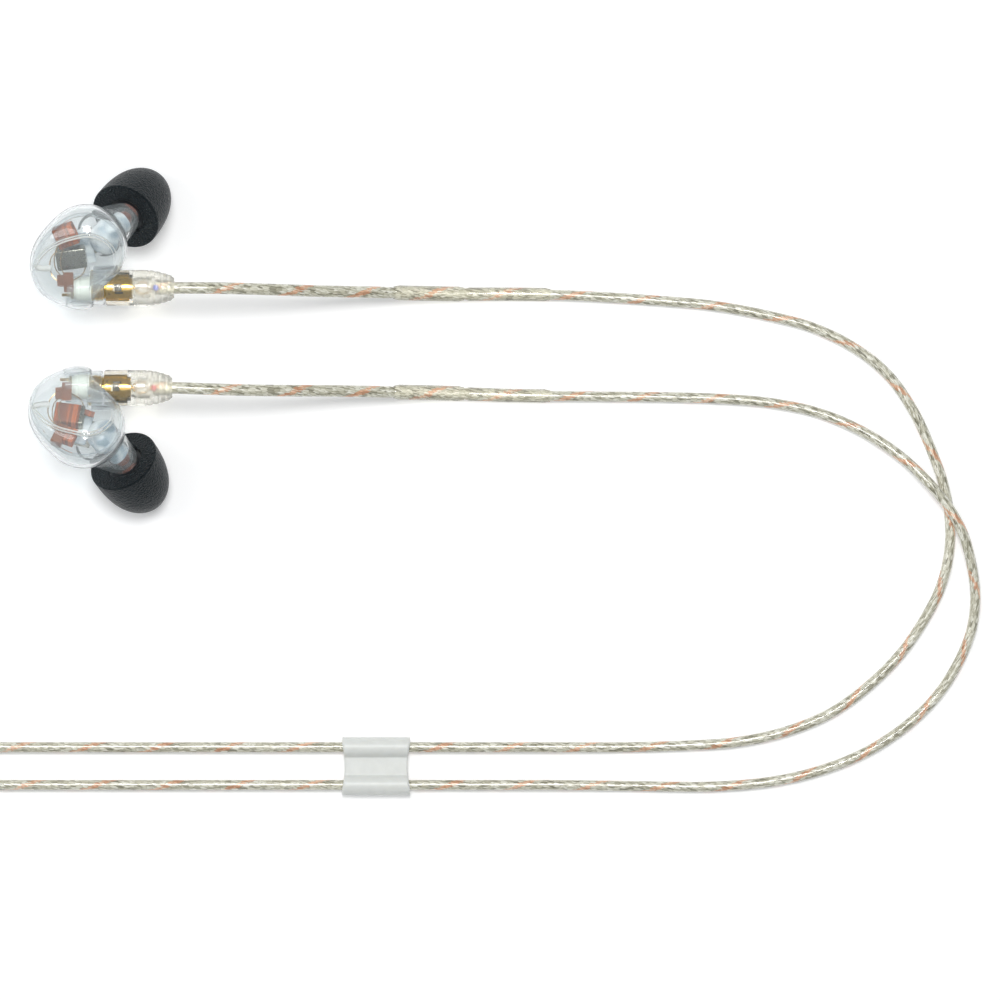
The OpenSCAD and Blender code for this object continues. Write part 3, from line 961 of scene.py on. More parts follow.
def leaf_depth(x: float, y: float, outline: Sequence[Vector]) -> float:
    """Signed distance to a closed outline, positive inside it.

    Args:
        x: the point's X.
        y: the point's Y.
        outline: corners of the outline.

    Returns:
        The distance.
    """
    best, inside = 1e9, False
    for a, b in zip(outline, [*outline[1:], outline[0]]):
        dx, dy = b.x - a.x, b.y - a.y
        t = share_of(((x - a.x) * dx + (y - a.y) * dy) / (dx * dx + dy * dy))
        best = min(best, math.hypot(x - a.x - t * dx, y - a.y - t * dy))
        if (a.y > y) != (b.y > y) and x < a.x + (y - a.y) / (b.y - a.y) * dx:
            inside = not inside
    return best if inside else -best


@dataclass
class ShellForm:
    """The two clear halves in the earphone's own frame, made once for both sides."""

    lobes: tuple[Lobe, ...] = (
        Lobe((-3.3, 8.2, -0.8), (7.6, 8.0, 5.5)),
        Lobe((-8.2, 4.6, -0.3), (5.6, 7.4, 3.6)),
        Lobe((-4.3, 0.0, 0.0), (4.1, 4.1, 4.1)),
    )
    spout_lobes: tuple[Lobe, ...] = (
        Lobe((-1.6, 8.6, -3.9), (4.6, 4.9, 3.4)),
        Lobe((3.242, 10.252, -8.088), (3.0, 3.0, 3.0)),
    )
    middle: Vector = field(default_factory=lambda: Vector((-4.6, 6.8, -0.6)))
    wall: float = 0.7
    seam: float = 1.2
    seam_gap: float = 0.03
    face_rise: float = 0.5
    face_edge: float = 0.3
    face_middle: tuple[float, float] = (-4.6, 7.0)
    # share of the raised face's edge that carries the painted highlight
    highlight_share: float = 0.56
    blend: float = 0.35
    spout_blend: float = 0.4
    # lines of a painted highlight along the raised face's edge, made by body()
    highlight_lines: list[list[Vector]] = field(default_factory=list)
    leaf: tuple[tuple[float, float], ...] = (
        (-13.1, 4.4), (-12.3, 6.6), (-10.6, 8.9), (-8.0, 10.9), (-5.7, 11.9), (-3.1, 12.5),
        (-1.0, 12.1), (0.7, 11.0), (1.9, 9.3), (2.2, 7.2), (1.5, 5.0), (-0.6, 3.3),
        (-3.8, 2.4), (-7.6, 2.3), (-11.2, 3.0),
    )

    def body(self) -> tuple[bmesh.types.BMesh, bmesh.types.BMesh]:
        """Makes the outer surface, with its raised face, and the cavity's surface.

        Returns:
            The outer solid and the cavity.
        """
        fine = 1.0
        dense = soft_hull(self.lobes, self.blend, round(280 * fine), round(200 * fine))
        tree = BVHTree.FromBMesh(dense)
        outer = bmesh.new()
        bmesh.ops.create_uvsphere(
            outer, u_segments=round(208 * fine), v_segments=round(136 * fine), radius=1.0
        )
        for vert in outer.verts:
            vert.co = tree.ray_cast(self.middle, vert.co.normalized())[0]
        dense.free()
        for _pass in range(3):
            bmesh.ops.smooth_vert(
                outer, verts=outer.verts, factor=0.5, use_axis_x=True, use_axis_y=True, use_axis_z=True
            )
        outer.normal_update()
        cavity = outer.copy()
        cavity.normal_update()
        for vert in cavity.verts:
            vert.co -= vert.normal * self.wall
        ring = [(x, y, 0.0) for x, y in self.leaf]
        edge = smooth_route([*ring, ring[0]], 0.6)[:-1]
        skin = BVHTree.FromBMesh(outer)
        # Two lines along the upper part of the raised face's edge carry a painted highlight, where the
        # crease only catches light.
        upper = edge[: round(len(edge) * self.highlight_share)]
        self.highlight_lines = [self.highlight_line(upper, skin, shrink, lift) for shrink, lift in ((1.0, 0.3), (0.95, 1.0))]
        moves = []
        for vert in outer.verts:
            if vert.normal.z > 0.15:
                depth = leaf_depth(vert.co.x, vert.co.y, edge)
                moves.append((vert, vert.normal * (self.face_rise * eased(depth / self.face_edge + 0.5))))
        for vert, move in moves:
            vert.co += move
        return outer, cavity

    def highlight_line(self, edge: Sequence[Vector], skin: BVHTree, shrink: float, lift: float) -> list[Vector]:
        """Draws one line of the painted highlight on the shell, beside the raised face's edge.

        Args:
            edge: the face's edge, seen from the front.
            skin: the shell's surface without its raised face.
            shrink: size of the line against the edge.
            lift: share of the face's rise that the line is lifted by.

        Returns:
            The line's points.
        """
        x0, y0 = self.face_middle
        line = []
        for p in edge:
            above = Vector((x0 + (p.x - x0) * shrink, y0 + (p.y - y0) * shrink, 20))
            line.append(skin.ray_cast(above, Vector((0, 0, -1)))[0] + Vector((0, 0, self.face_rise * lift)))
        return line

    def spout(self, inset: float) -> bmesh.types.BMesh:
        """Makes the spout's hull, or its hollow where it is inset."""
        return soft_hull(self.spout_lobes, self.spout_blend, 72, 48, inset)

    def halves(self) -> tuple[bmesh.types.BMesh, bmesh.types.BMesh]:
        """Makes the front cover and the inner shell.

        Returns:
            The two closed solids, in the earphone's own frame.
        """
        outer, cavity = self.body()
        spout = combined(self.spout(0.0), placed(slab(-60, 0.7), TIP_PLACE), "INTERSECT")
        throat = combined(
            self.spout(self.wall + 0.1), placed(slab(-60, -0.2), TIP_PLACE), "INTERSECT"
        )
        nozzle = placed(
            spun([(0, -2), (1.75, -2), (1.75, 5.6), (1.95, 5.9), (1.75, 6.4), (1.6, 6.5), (0, 6.5)]),
            TIP_PLACE,
        )
        bore = placed(spun([(0, -3), (1.25, -3), (1.25, 7), (0, 7)]), TIP_PLACE)
        mouth_x, mouth_radius = -2.1, 3.53
        mouth = rod(mouth_x, 20, mouth_radius)
        mouth_wall = rod(mouth_x - self.wall, 20, mouth_radius + self.wall)
        outer = combined(outer, mouth, "DIFFERENCE")
        cavity = combined(cavity, mouth_wall, "DIFFERENCE")
        outer = combined(combined(outer, spout, "UNION"), nozzle, "UNION")
        cavity = combined(combined(cavity, throat, "UNION"), bore, "UNION")
        whole = combined(outer, cavity, "DIFFERENCE")
        boss_room = rod(-7.0, 1.0, 2.93)
        cover = combined(whole.copy(), slab(self.seam + self.seam_gap, 40), "INTERSECT")
        cover = combined(cover, boss_room, "DIFFERENCE")
        inner = combined(whole, slab(-40, self.seam - self.seam_gap), "INTERSECT")
        boss = spun(
            [(2.4, -6.8), (2.9, -6.8), (2.9, -2.1), (3.2, -2.1), (3.2, -0.25), (2.98, 0), (2.4, 0)],
            64,
            closed=True,
        )
        inner = combined(inner, placed(boss, ALONG_X), "UNION")
        return cover, inner


@dataclass
class Unit:
    """A driver, board or plate inside the shell."""

    node: str
    size: tuple[float, float, float]
    centre: tuple[float, float, float]
    turn: float
    slot: str
    edge: float = 0.25

    def build(self, seat: Seat, stands_for: Sequence[str] = ()) -> None:
        """Makes the piece in its place.

        Args:
            seat: where the earphone lies.
            stands_for: the CAD nodes that it replaces.
        """
        place = (
            seat.shell
            @ Matrix.Translation(self.centre)
            @ Matrix.Rotation(math.radians(self.turn), 4, "Z")
        )
        name, body = seat.name(self.node + "_look"), seat.name("earphone")
        make(name, rounded_block(self.size, self.edge), self.slot, body, place, stands_for=stands_for)


@dataclass
class Earphone:
    """One earphone: shell, drivers, nozzle and ear tip."""

    seat: Seat

    def units(self) -> list[Unit]:
        """Lists what lies in the shell, each in place of its CAD node."""
        return [
            Unit("driver_cradle", (6.4, 6.7, 0.6), (-5.4, 7.6, -1.0), 14, "cradle", 0.15),
            Unit("treble_driver", (3.5, 3.0, 2.0), (-6.5, 10.4, 0.3), 22, "copper_tape"),
            Unit("bass_driver_front", (5.4, 3.8, 2.2), (-6.0, 6.4, 0.4), 8, "driver_can"),
            Unit("bass_driver_rear", (5.6, 4.6, 2.3), (-4.6, 8.0, -2.45), 14, "driver_can"),
            Unit("crossover_board", (1.7, 2.3, 0.3), (-7.75, 2.1, 0.95), 0, "flex_board", 0.08),
        ]

    def wraps(self) -> list[Unit]:
        """Lists the pieces of tape round the drivers, which differ from side to side."""
        if self.seat.side is Side.LEFT:
            return [Unit("driver_tape", (3.9, 3.9, 2.1), (-6.9, 10.75, 0.35), 22, "copper_tape", 0.2)]
        return [
            Unit("driver_tape", (4.6, 3.9, 2.3), (-6.3, 6.36, 0.4), 8, "copper_tape", 0.2),
            Unit("treble_tape", (1.9, 3.9, 2.1), (-7.7, 10.4, 0.35), 22, "flex_board", 0.2),
            Unit("tape_strip", (2.0, 1.1, 0.3), (-2.5, 6.3, 1.1), 20, "copper_tape", 0.06),
        ]

    def build(
        self, cover: bmesh.types.BMesh, inner: bmesh.types.BMesh, highlight_lines: Sequence[Sequence[Vector]]
    ) -> None:
        """Makes the earphone's pieces.

        Args:
            cover: the front cover in the earphone's own frame.
            inner: the inner shell in the earphone's own frame.
            highlight_lines: the lines of the painted highlight along the raised face's edge.
        """
        seat, body = self.seat, self.seat.name("earphone")
        for node, bm in (("front_cover", cover), ("inner_shell", inner)):
            name = seat.name(node)
            make(name + "_look", bm.copy(), "clear_shell", body, seat.shell, 30, [name])
        for unit in self.units():
            unit.build(seat, [seat.name(unit.node)])
        for unit in self.wraps():
            unit.build(seat)
        self.build_highlight_and_rib(highlight_lines)
        self.build_wiring()
        self.build_chamber()
        self.build_socket()
        self.build_tip()

    def build_highlight_and_rib(self, highlight_lines: Sequence[Sequence[Vector]]) -> None:
        """Makes the painted highlight beside the raised face, as milky tubes, and the rib at the shell's
        narrow end.

        Args:
            highlight_lines: the lines of the painted highlight along the raised face's edge.
        """
        seat, body = self.seat, self.seat.name("earphone")
        lines = []
        for highlight_line in highlight_lines:
            span = run_length(highlight_line)
            lines.append(tube(highlight_line, lambda s: 0.03 + 0.14 * min(1.0, s / 3, (span - s) / 6), 8))
        # The face_edge piece is a painted highlight: milky tubes where the crease of the raised face only
        # catches light.
        make(seat.name("face_edge"), merged(lines), "milky_plastic", body, seat.shell)
        rib = smooth_route([(-12.5, 4.95, 1.1), (-11.2, 5.0, 2.0), (-9.4, 5.3, 2.5)], 0.15)
        rib_length, rib_radius = run_length(rib), 0.55

        def rounded_end(s: float) -> float:
            """Radius of the rib at a distance along it, rounded off at both ends."""
            short = max(0.0, 1 - min(s, rib_length - s) / rib_radius)
            return max(0.05, rib_radius * math.sqrt(1 - short**2))

        make(seat.name("rib"), tube(rib, rounded_end), "milky_plastic", body, seat.shell)

    def build_wiring(self) -> None:
        """Adds the fine wires and the flex tail inside the shell."""
        seat, body = self.seat, self.seat.name("earphone")
        runs = (
            [(-7.2, 3.2, 1.2), (-7.6, 4.6, 2.0), (-7.9, 6.4, 1.9), (-7.4, 8.6, 1.6)],
            [(-7.9, 3.2, 1.2), (-8.8, 4.8, 1.7), (-9.0, 7.0, 1.3), (-8.2, 9.2, 1.0)],
            [(-6.9, 1.2, 0.8), (-5.6, 2.4, 1.4), (-4.0, 3.6, 1.4), (-3.3, 5.2, 1.2)],
            [(-8.2, 1.6, 0.9), (-9.6, 3.0, 0.2), (-9.8, 5.4, -1.2), (-8.0, 7.4, -2.2)],
        )
        wires = merged(tube(smooth_route(run, 0.3), 0.1, 8) for run in runs)
        make(seat.name("driver_wires"), wires, "spring_bronze", body, seat.shell)
        flex = placed(
            rounded_block((1.8, 4.2, 0.14), 0.05, 2),
            Matrix.Translation((-6.5, 2.3, 2.2)) @ Matrix.Rotation(0.1, 4, "X"),
        )
        make(seat.name("flex_tail"), flex, "flex_board", body, seat.shell)

    def build_chamber(self) -> None:
        """Adds the milky sound chamber with its duct, and the filter plug at the duct's end."""
        seat, body = self.seat, self.seat.name("earphone")
        centre, semi_axes = Vector((0.1, 10.0, -0.6)), (3.0, 3.5, 2.5)
        duct = smooth_route(
            [(-0.6, 9.0, -1.6), (0.2, 9.3, -3.0), (1.2, 9.7, -4.8), (2.7, 10.05, -6.9)], 0.3
        )
        duct_length = run_length(duct)
        chamber = bmesh.new()
        place = Matrix.Translation(centre) @ Matrix.Diagonal((*semi_axes, 1))
        bmesh.ops.create_uvsphere(chamber, u_segments=64, v_segments=40, radius=1.0, matrix=place)
        for vert in chamber.verts:
            dent = noise.noise(vert.co * 0.45)
            vert.co = centre + (vert.co - centre) * (0.93 + 0.13 * dent)
        pipe = tube(duct, lambda s: 1.2 + 0.9 * s / duct_length, 24)
        make(seat.name("sound_chamber"), combined(chamber, pipe, "UNION"), "cradle", body, seat.shell)
        filter_plug = spun([(0, -2.1), (1.3, -2.1), (1.4, -2.0), (1.4, -0.5), (1.3, -0.4), (0, -0.4)])
        make(seat.name("filter_plug"), filter_plug, "brown_damper", body, seat.tip)

    def build_socket(self) -> None:
        """Makes the socket: gold rings at its mouth, a cream sleeve behind them and a gold prong."""
        seat, body = self.seat, self.seat.name("earphone")
        rings = [(1.97, -5.3), (2.06, -5.3), (2.06, -2.6), (2.36, -2.6), (2.36, -1.95), (2.16, -1.85),
                 (2.16, -1.7), (2.36, -1.6), (2.36, -1.05), (2.18, -0.95), (2.18, -0.8), (2.3, -0.7),
                 (2.3, -0.3), (1.97, -0.3)]
        place = seat.shell @ ALONG_X
        mouth = spun(rings, 64, closed=True)
        make(seat.name("socket_look"), mouth, "gold", body, place, stands_for=[seat.name("socket_barrel")])
        sleeve = [(2.09, -5.3), (2.28, -5.3), (2.36, -5.2), (2.36, -4.75), (2.27, -4.65), (2.27, -4.5),
                  (2.36, -4.4), (2.36, -2.75), (2.28, -2.68), (2.09, -2.68)]
        make(seat.name("socket_sleeve"), spun(sleeve, 64, closed=True), "white_insulator", body, place)
        prong = placed(
            rounded_block((2.0, 0.5, 0.35), 0.1, 2), Matrix.Translation((-6.8, -0.3, 2.1))
        )
        foot = placed(rounded_block((0.5, 1.3, 0.4), 0.1, 2), Matrix.Translation((-5.9, -0.3, 2.0)))
        make(seat.name("socket_prong"), merged([prong, foot]), "gold", body, seat.shell)

    def build_tip(self) -> None:
        """Makes the foam of the ear tip."""
        seat = self.seat
        radius, length, power, hole = 6.65, 13.0, 2.6, 2.0
        cut, edge = 12.4, 0.3
        core_radius, core_end, flange_radius, flange_top = 2.68, 9.5, 3.55, 1.6
        side = []
        for i in range(49):
            s = edge + (cut - edge) * (i / 48) ** 0.8
            side.append((radius * math.sqrt(1 - (s / length) ** power), s))
        base = [(3.8, 0.0), (4.6, 0.05), (5.5, 0.05)]
        round_edge = [
            (radius - edge * (1 - math.sin(a)), edge * (1 - math.cos(a)))
            for a in (math.radians(15 * k) for k in range(0, 6))
        ]
        inside = [(hole + 0.1, cut + 0.05), (hole, cut - 0.2), (hole, core_end), (core_radius, core_end),
                  (core_radius, flange_top), (flange_radius, flange_top), (flange_radius, 0.2)]
        foam = spun([*base, *round_edge, *side, *inside], 96, closed=True)
        replaced = [seat.name("tip_foam")]
        piece = make(seat.name("foam_look"), foam, "foam", seat.name("tip"), seat.tip, 50, replaced)

    def dress(self) -> None:
        """Gives the carried-over CAD nodes their finishes."""
        slots = {
            "nozzle_screen": "steel_mesh",
            "damper": "brown_damper",
            "tip_core": "core_rubber",
            "socket_insulator": "white_insulator",
            "socket_contact": "gold",
            "snap_ring": "spring_bronze",
        }
        for node, slot in slots.items():
            WARDROBE.dress_cad(self.seat.name(node), slot)


# ---------------------------------------------------------------- plug


@dataclass
class Plug:
    """The clear detachable plug at the end of a lead."""

    seat: Seat

    def housing(self) -> bmesh.types.BMesh:
        """Makes the clear overmould with grip ridges towards the cable.

        Returns:
            The mesh, spun about its own length.
        """
        ridge_from, ridge_to, wide, narrow = 7.6, 12.2, 3.33, 2.35
        notches, notch_depth = 4, 0.1
        outside = [(2.45, 0.2), (2.95, 0.2), (3.2, 0.3), (wide, 0.6), (wide, 7.2), (wide, ridge_from)]
        for i in range(1, 41):
            t = i / 40
            base = wide + (narrow - wide) * t**1.7
            wave = max(0.0, math.cos(2 * math.pi * notches * t + math.pi))
            notch = notch_depth * wave if 0.04 < t < 0.96 else 0.0
            outside.append((base - notch, ridge_from + (ridge_to - ridge_from) * t))
        end = [(2.05, 12.5), (1.8, 12.8), (1.12, 12.8), (1.12, 9.3), (1.5, 8.6), (1.5, 6.4),
               (1.25, 5.22), (1.94, 5.22), (1.94, 4.6), (2.45, 4.6)]
        return spun([*outside, *end], 72, closed=True)

    def build(self) -> None:
        """Makes the housing, and the wires and solder that show through it."""
        seat = self.seat
        replaced = [seat.name("plug_housing")]
        place = seat.plug @ ALONG_X
        make(seat.name("housing_look"), self.housing(), "clear_housing", "cable", place, 28, replaced)
        runs = (
            [(5.6, 0.3, 0.35), (6.6, 0.9, 0.75), (7.6, 0.8, 0.8), (8.6, 0.3, 0.5), (9.3, 0.2, 0.1)],
            [(5.6, -0.4, 0.3), (6.5, -1.0, 0.4), (7.5, -0.9, 0.7), (8.5, -0.4, 0.5), (9.3, -0.2, 0.2)],
            [(5.7, 0.0, 0.1), (6.7, 0.1, 1.1), (7.9, -0.1, 1.0), (9.2, 0.0, 0.4)],
        )
        wires = merged(tube(smooth_route(run, 0.25), 0.17, 10) for run in runs)
        make(seat.name("plug_wires"), wires, "spring_bronze", "cable", seat.plug)
        joints = []
        for x, y, z, r in ((5.9, 0.35, 0.5, 0.42), (5.9, -0.5, 0.4, 0.38), (8.9, 0.1, 0.5, 0.36)):
            ball = bmesh.new()
            bmesh.ops.create_icosphere(
                ball, subdivisions=3, radius=r, matrix=Matrix.Translation((x, y, z))
            )
            joints.append(ball)
        make(seat.name("solder"), merged(joints), "gold", "cable", seat.plug)
        bars = [
            placed(rounded_block((1.5, 1.7, 0.16), 0.05, 2), Matrix.Translation((2.7, -0.2, 2.27))),
            placed(rounded_block((0.3, 2.6, 0.3), 0.05, 2), Matrix.Translation((0.9, 0.1, 2.1))),
        ]
        make(seat.name("barrel_slot"), merged(bars), "black_band", "cable", seat.plug)

    def dress(self) -> None:
        """Gives the carried-over CAD nodes their finishes."""
        marker = "marker_blue" if self.seat.side is Side.LEFT else "marker_red"
        slots = {
            "plug_barrel": "gold",
            "plug_insulator": "white_insulator",
            "plug_pin": "gold",
            "side_marker": marker,
        }
        for node, slot in slots.items():
            WARDROBE.dress_cad(self.seat.name(node), slot)


# ---------------------------------------------------------------- cables


LOW = 0.95
OVER = 2.95
HELD = 1.38
SPLIT_Z = 2.2
SPLIT_X = -36.0
SPLIT_Y = -79.3
ENTRY = 1.45


@dataclass
class Lead:
    """One lead: the formable section, its sleeves and the run to the Y-split."""

    seat: Seat
    rise: Sequence[tuple[float, float, float]]
    run: Sequence[tuple[float, float, float]]
    form_radius: float = 1.1
    radius: float = 0.95

    def line(self) -> list[Vector]:
        """Gives the lead's whole centreline, from inside the plug into the Y-split."""
        seat = self.seat
        y, h = seat.side.sign * AXIS_HALF_GAP, seat.axis_z
        x = seat.plug_x + TAIL_X
        end_y = SPLIT_Y + seat.side.sign * ENTRY
        points = [(x - 3.5, y, h), (x, y, h)]
        points += [(px, py, share * h) for px, py, share in self.rise]
        points += self.run
        points += [(SPLIT_X + 2, end_y, SPLIT_Z), (SPLIT_X - 3, end_y, SPLIT_Z)]
        return smooth_route(self.held_straight(points), 1.0)

    @staticmethod
    def held_straight(points: Sequence[Sequence[float]]) -> list[Sequence[float]]:
        """Adds a point near each end of a run that the cinch slides on, so that it stays straight.

        Args:
            points: the route's own points.

        Returns:
            The points with the added ones.
        """
        line = []
        for a, b in zip(points, points[1:]):
            line.append(a)
            if a[2] == b[2] == HELD:
                share = 1.5 / abs(b[0] - a[0])
                line += [Vector(a).lerp(Vector(b), share), Vector(b).lerp(Vector(a), share)]
        return [*line, points[-1]]

    def build(self) -> None:
        name = self.seat.name
        line = self.line()
        length = run_length(line)
        sleeve_at, thin_at, end_at = 54.0, 67.0, 83.0
        start = line[0].x

        def radius(s: float) -> float:
            """Radius of the lead at a distance along it, thinner past the formable section."""
            t = share_of((s - (sleeve_at - start)) / 3.0)
            return self.form_radius + (self.radius - self.form_radius) * t

        replaced = [name("form_wire"), name("lead")]
        bm = tube(line, radius, 20)
        cord = make(name("lead_look"), bm, "braided_cable", "cable", stands_for=replaced)
        sleeves = [
            self.sleeve("wire_sleeve", [p for p in line[:120] if sleeve_at <= p.x <= thin_at + 0.5], 1.4),
            self.sleeve("lead_sleeve", [p for p in line[:120] if thin_at <= p.x <= end_at + 0.5], 1.25),
        ]
        log.info("%s lead: %.0f mm long", self.seat.side.value, length)

    def sleeve(self, node: str, line: Sequence[Vector], radius: float) -> bpy.types.Object:
        """Makes a clear sleeve with rounded ends along part of the lead.

        Args:
            node: the CAD node that it replaces, without the side.
            line: the part of the lead's line that it covers.
            radius: its outer radius.

        Returns:
            The object.
        """
        span = run_length(line)

        def outline(s: float) -> float:
            """Radius of the sleeve at a distance along it."""
            return radius - 0.22 * max(0.0, 1 - min(s, span - s) / 0.8) ** 2

        name = self.seat.name(node)
        return make(name + "_look", tube(line, outline, 24), "clear_sleeve", "cable", stands_for=[name])


LEADS = (
    Lead(
        SEATS[0],
        rise=[(19, 9.2, 0.985), (26, 9.1, 0.92), (33, 8.9, 0.8), (41, 8.7, 0.62), (48, 8.6, 0.45),
              (54, 8.5, 0.32), (60.5, 8.4, 0.2), (67, 8.3, 0.13)],
        run=[(75, 8.3, 1.4), (83, 8.2, 1.3), (92, 7.8, LOW), (103, 7.1, LOW), (113, 6.2, LOW),
             (123, 4.4, LOW), (132, 2, LOW), (140, -2, LOW), (146, -7, LOW), (150.5, -13.5, LOW),
             (153.5, -20, LOW), (156, -27, LOW), (157.2, -34, LOW), (157, -40, LOW),
             (155.5, -46, LOW), (152.5, -52, LOW), (148, -58.5, LOW), (142, -64.5, LOW),
             (135, -69.5, LOW), (127, -72.8, LOW), (118, -74.8, LOW), (108, -75.5, LOW),
             (96, -75.8, LOW), (84, -75.8, HELD), (30, -75.8, HELD), (-20, -75.8, HELD),
             (-27, -76.8, 1.7), (-32, -77.8, SPLIT_Z)],
    ),
    Lead(
        SEATS[1],
        rise=[(19, -9.4, 0.985), (26, -9.6, 0.92), (33, -9.7, 0.8), (41, -9.7, 0.62),
              (48, -9.8, 0.45), (54, -9.9, 0.32), (60.5, -10, 0.2), (67, -10.2, 0.13)],
        run=[(75, -10.5, 1.4), (83, -10.6, 1.3), (92, -10.7, LOW), (103, -10.8, LOW),
             (114, -11.1, LOW), (124, -11.9, LOW), (133, -13.8, LOW), (141, -17.2, LOW + 0.5),
             (148, -21.8, 2), (153, -26.5, OVER), (156.7, -31, OVER), (159.5, -36, OVER),
             (161.2, -42, 2), (161.9, -48, LOW + 0.5), (161.2, -54, LOW), (158.8, -60, LOW),
             (155, -66, LOW), (149.5, -71.5, LOW), (142, -76.5, LOW), (133.5, -80, LOW),
             (124, -82.2, LOW), (113, -83.1, LOW), (98, -83, LOW), (84, -82.8, HELD),
             (30, -82.8, HELD), (-20, -82.8, HELD), (-27, -81.8, 1.7), (-32, -80.8, SPLIT_Z)],
    ),
)


@dataclass
class Cinch:
    """The milky cinch that slides on both leads."""

    length: float = 12.6
    start: float = 44.4
    tube_radius: float = 1.9
    web: float = 1.6
    half_gap: float = 3.5
    waist: float = 0.45

    def half_height(self, y: float) -> float:
        """Half the cinch's thickness at a distance from its middle line."""
        reach = abs(y) - self.half_gap
        tube_half = math.sqrt(max(0.0, self.tube_radius**2 - reach**2))
        if abs(y) > self.half_gap:
            return max(tube_half, 0.02)
        soft = 0.18
        return soft * math.log(math.exp(tube_half / soft) + math.exp(self.web / 2 / soft))

    def build(self) -> None:
        """Makes the cinch from a finely divided block, with bores for the leads."""
        half_y = self.half_gap + self.tube_radius
        bm = bmesh.new()
        bmesh.ops.create_cube(bm, size=2.0)
        for axis, cuts in ((1, 95), (0, 39)):
            bmesh.ops.subdivide_edges(bm, edges=edges_along(bm, axis), cuts=cuts, use_grid_fill=True)
        for vert in bm.verts:
            u, v, w = vert.co
            y = half_y * math.sin(v * math.pi / 2) if abs(v) > 0.98 else half_y * v
            u = math.copysign(1 - (1 - abs(u)) ** 1.35, u)
            near_end = (1 - abs(u)) * self.length / 2
            edge = 1 - 0.16 * max(0.0, 1 - near_end / 0.35) ** 2
            reach = self.length / 2 - self.waist * max(0.0, 1 - (y / (self.half_gap + 0.6)) ** 2)
            vert.co = (u * reach, y, w * self.half_height(y) * edge)
        placed(bm, Matrix.Translation((self.start + self.length / 2, SPLIT_Y, self.tube_radius)))
        for sign in (-1, 1):
            hole = placed(
                rod(self.start - 1, self.start + self.length + 1, 1.03),
                Matrix.Translation((0, SPLIT_Y + sign * self.half_gap, HELD)),
            )
            bm = combined(bm, hole, "DIFFERENCE")
        make("cinch_look", bm, "milky_plastic", "cinch", None, 50, ["cinch"])


@dataclass
class Splitter:
    """The moulded Y-split."""

    length: float = 15.0
    wide: float = 3.2
    narrow: float = 2.1
    half_height: float = 2.18

    def build(self) -> None:
        """Makes the Y-split from a divided block that narrows to the main cable."""
        bm = bmesh.new()
        bmesh.ops.create_cube(bm, size=2.0)
        bmesh.ops.subdivide_edges(bm, edges=edges_along(bm, 0), cuts=23, use_grid_fill=True)
        bmesh.ops.bevel(
            bm,
            geom=[
                e for e in edges_along(bm, 0, 0.01)
                if abs(e.verts[0].co.y) > 0.9 and abs(e.verts[0].co.z) > 0.9
            ],
            offset=0.45,
            segments=5,
            profile=0.5,
            affect="EDGES",
            material=-1,
        )
        for vert in bm.verts:
            u = vert.co.x
            wide = self.wide + (self.narrow - self.wide) * eased((0.55 - u) / 1.35)
            groove = 0.14 if u < -0.2 and round((u + 1) * 12) % 2 else 0.0
            end = 1 - 0.12 * max(0.0, (abs(u) - 0.93) / 0.07) ** 2
            vert.co = (
                SPLIT_X - self.length / 2 + u * self.length / 2,
                SPLIT_Y + vert.co.y * (wide - groove) * end,
                SPLIT_Z + vert.co.z * (self.half_height - groove) * end,
            )
        make("y_split_look", bm, "milky_plastic", "cable", None, 60, ["y_split"])


@dataclass
class CoilRoute:
    """Turns of the coiled cable: which slot each turn lies in, and where it changes slot."""

    centre: Vector = field(default_factory=lambda: Vector((-75.0, -63.3, 0.0)))
    radii: tuple[float, ...] = (17.75, 15.25, 12.75, 10.25)
    heights: tuple[float, ...] = (1.25, 3.75, 6.25, 8.75)
    rise: float = 0.72

    def slots(self) -> list[tuple[float, float, float]]:
        """Lists each turn's radius and height, and the turn's angle at which it is left."""
        order = []
        for layer, z in enumerate(self.heights):
            radii = self.radii if layer % 2 == 0 else self.radii[::-1]
            order += [(r, z, layer) for r in radii]
        found = []
        for (r, z, layer), (_r2, z2, _l2) in zip(order, order[1:] + [order[-1]]):
            climbs = z2 != z
            rank = 6 - 2 * layer - (1 if climbs else 0)
            found.append((r, z, math.radians(30 + 38 * rank)))
        return found

    def points(self) -> list[tuple[float, float, float]]:
        """Gives the points of the coil from its bottom right to its leftmost point.

        Returns:
            The points, in millimetres.
        """
        slots = self.slots()
        span, step = math.radians(34), math.radians(7.5)
        last_turn = 3 * len(self.radii)
        count = round((last_turn + 1.25) * 2 * math.pi / step)
        line = []
        for i in range(count + 1):
            angle = i * step
            k = min(int(angle / (2 * math.pi)), last_turn)
            phase = angle - k * 2 * math.pi
            r, z, at = slots[k]
            if k == last_turn:
                share = min(1.0, phase / math.radians(400))
                r = self.radii[-1] + (self.radii[0] - self.radii[-1]) * share
            else:
                r2, z2, _at2 = slots[k + 1]
                t = eased((phase - at) / span)
                r, z = r + (r2 - r) * t, z + (z2 - z) * t
            turn = -math.pi / 2 - angle
            over_tie = max(0.0, math.cos(turn)) ** 6
            line.append(
                (
                    self.centre.x + r * math.cos(turn),
                    self.centre.y + r * math.sin(turn),
                    z + self.rise * over_tie,
                )
            )
        return line


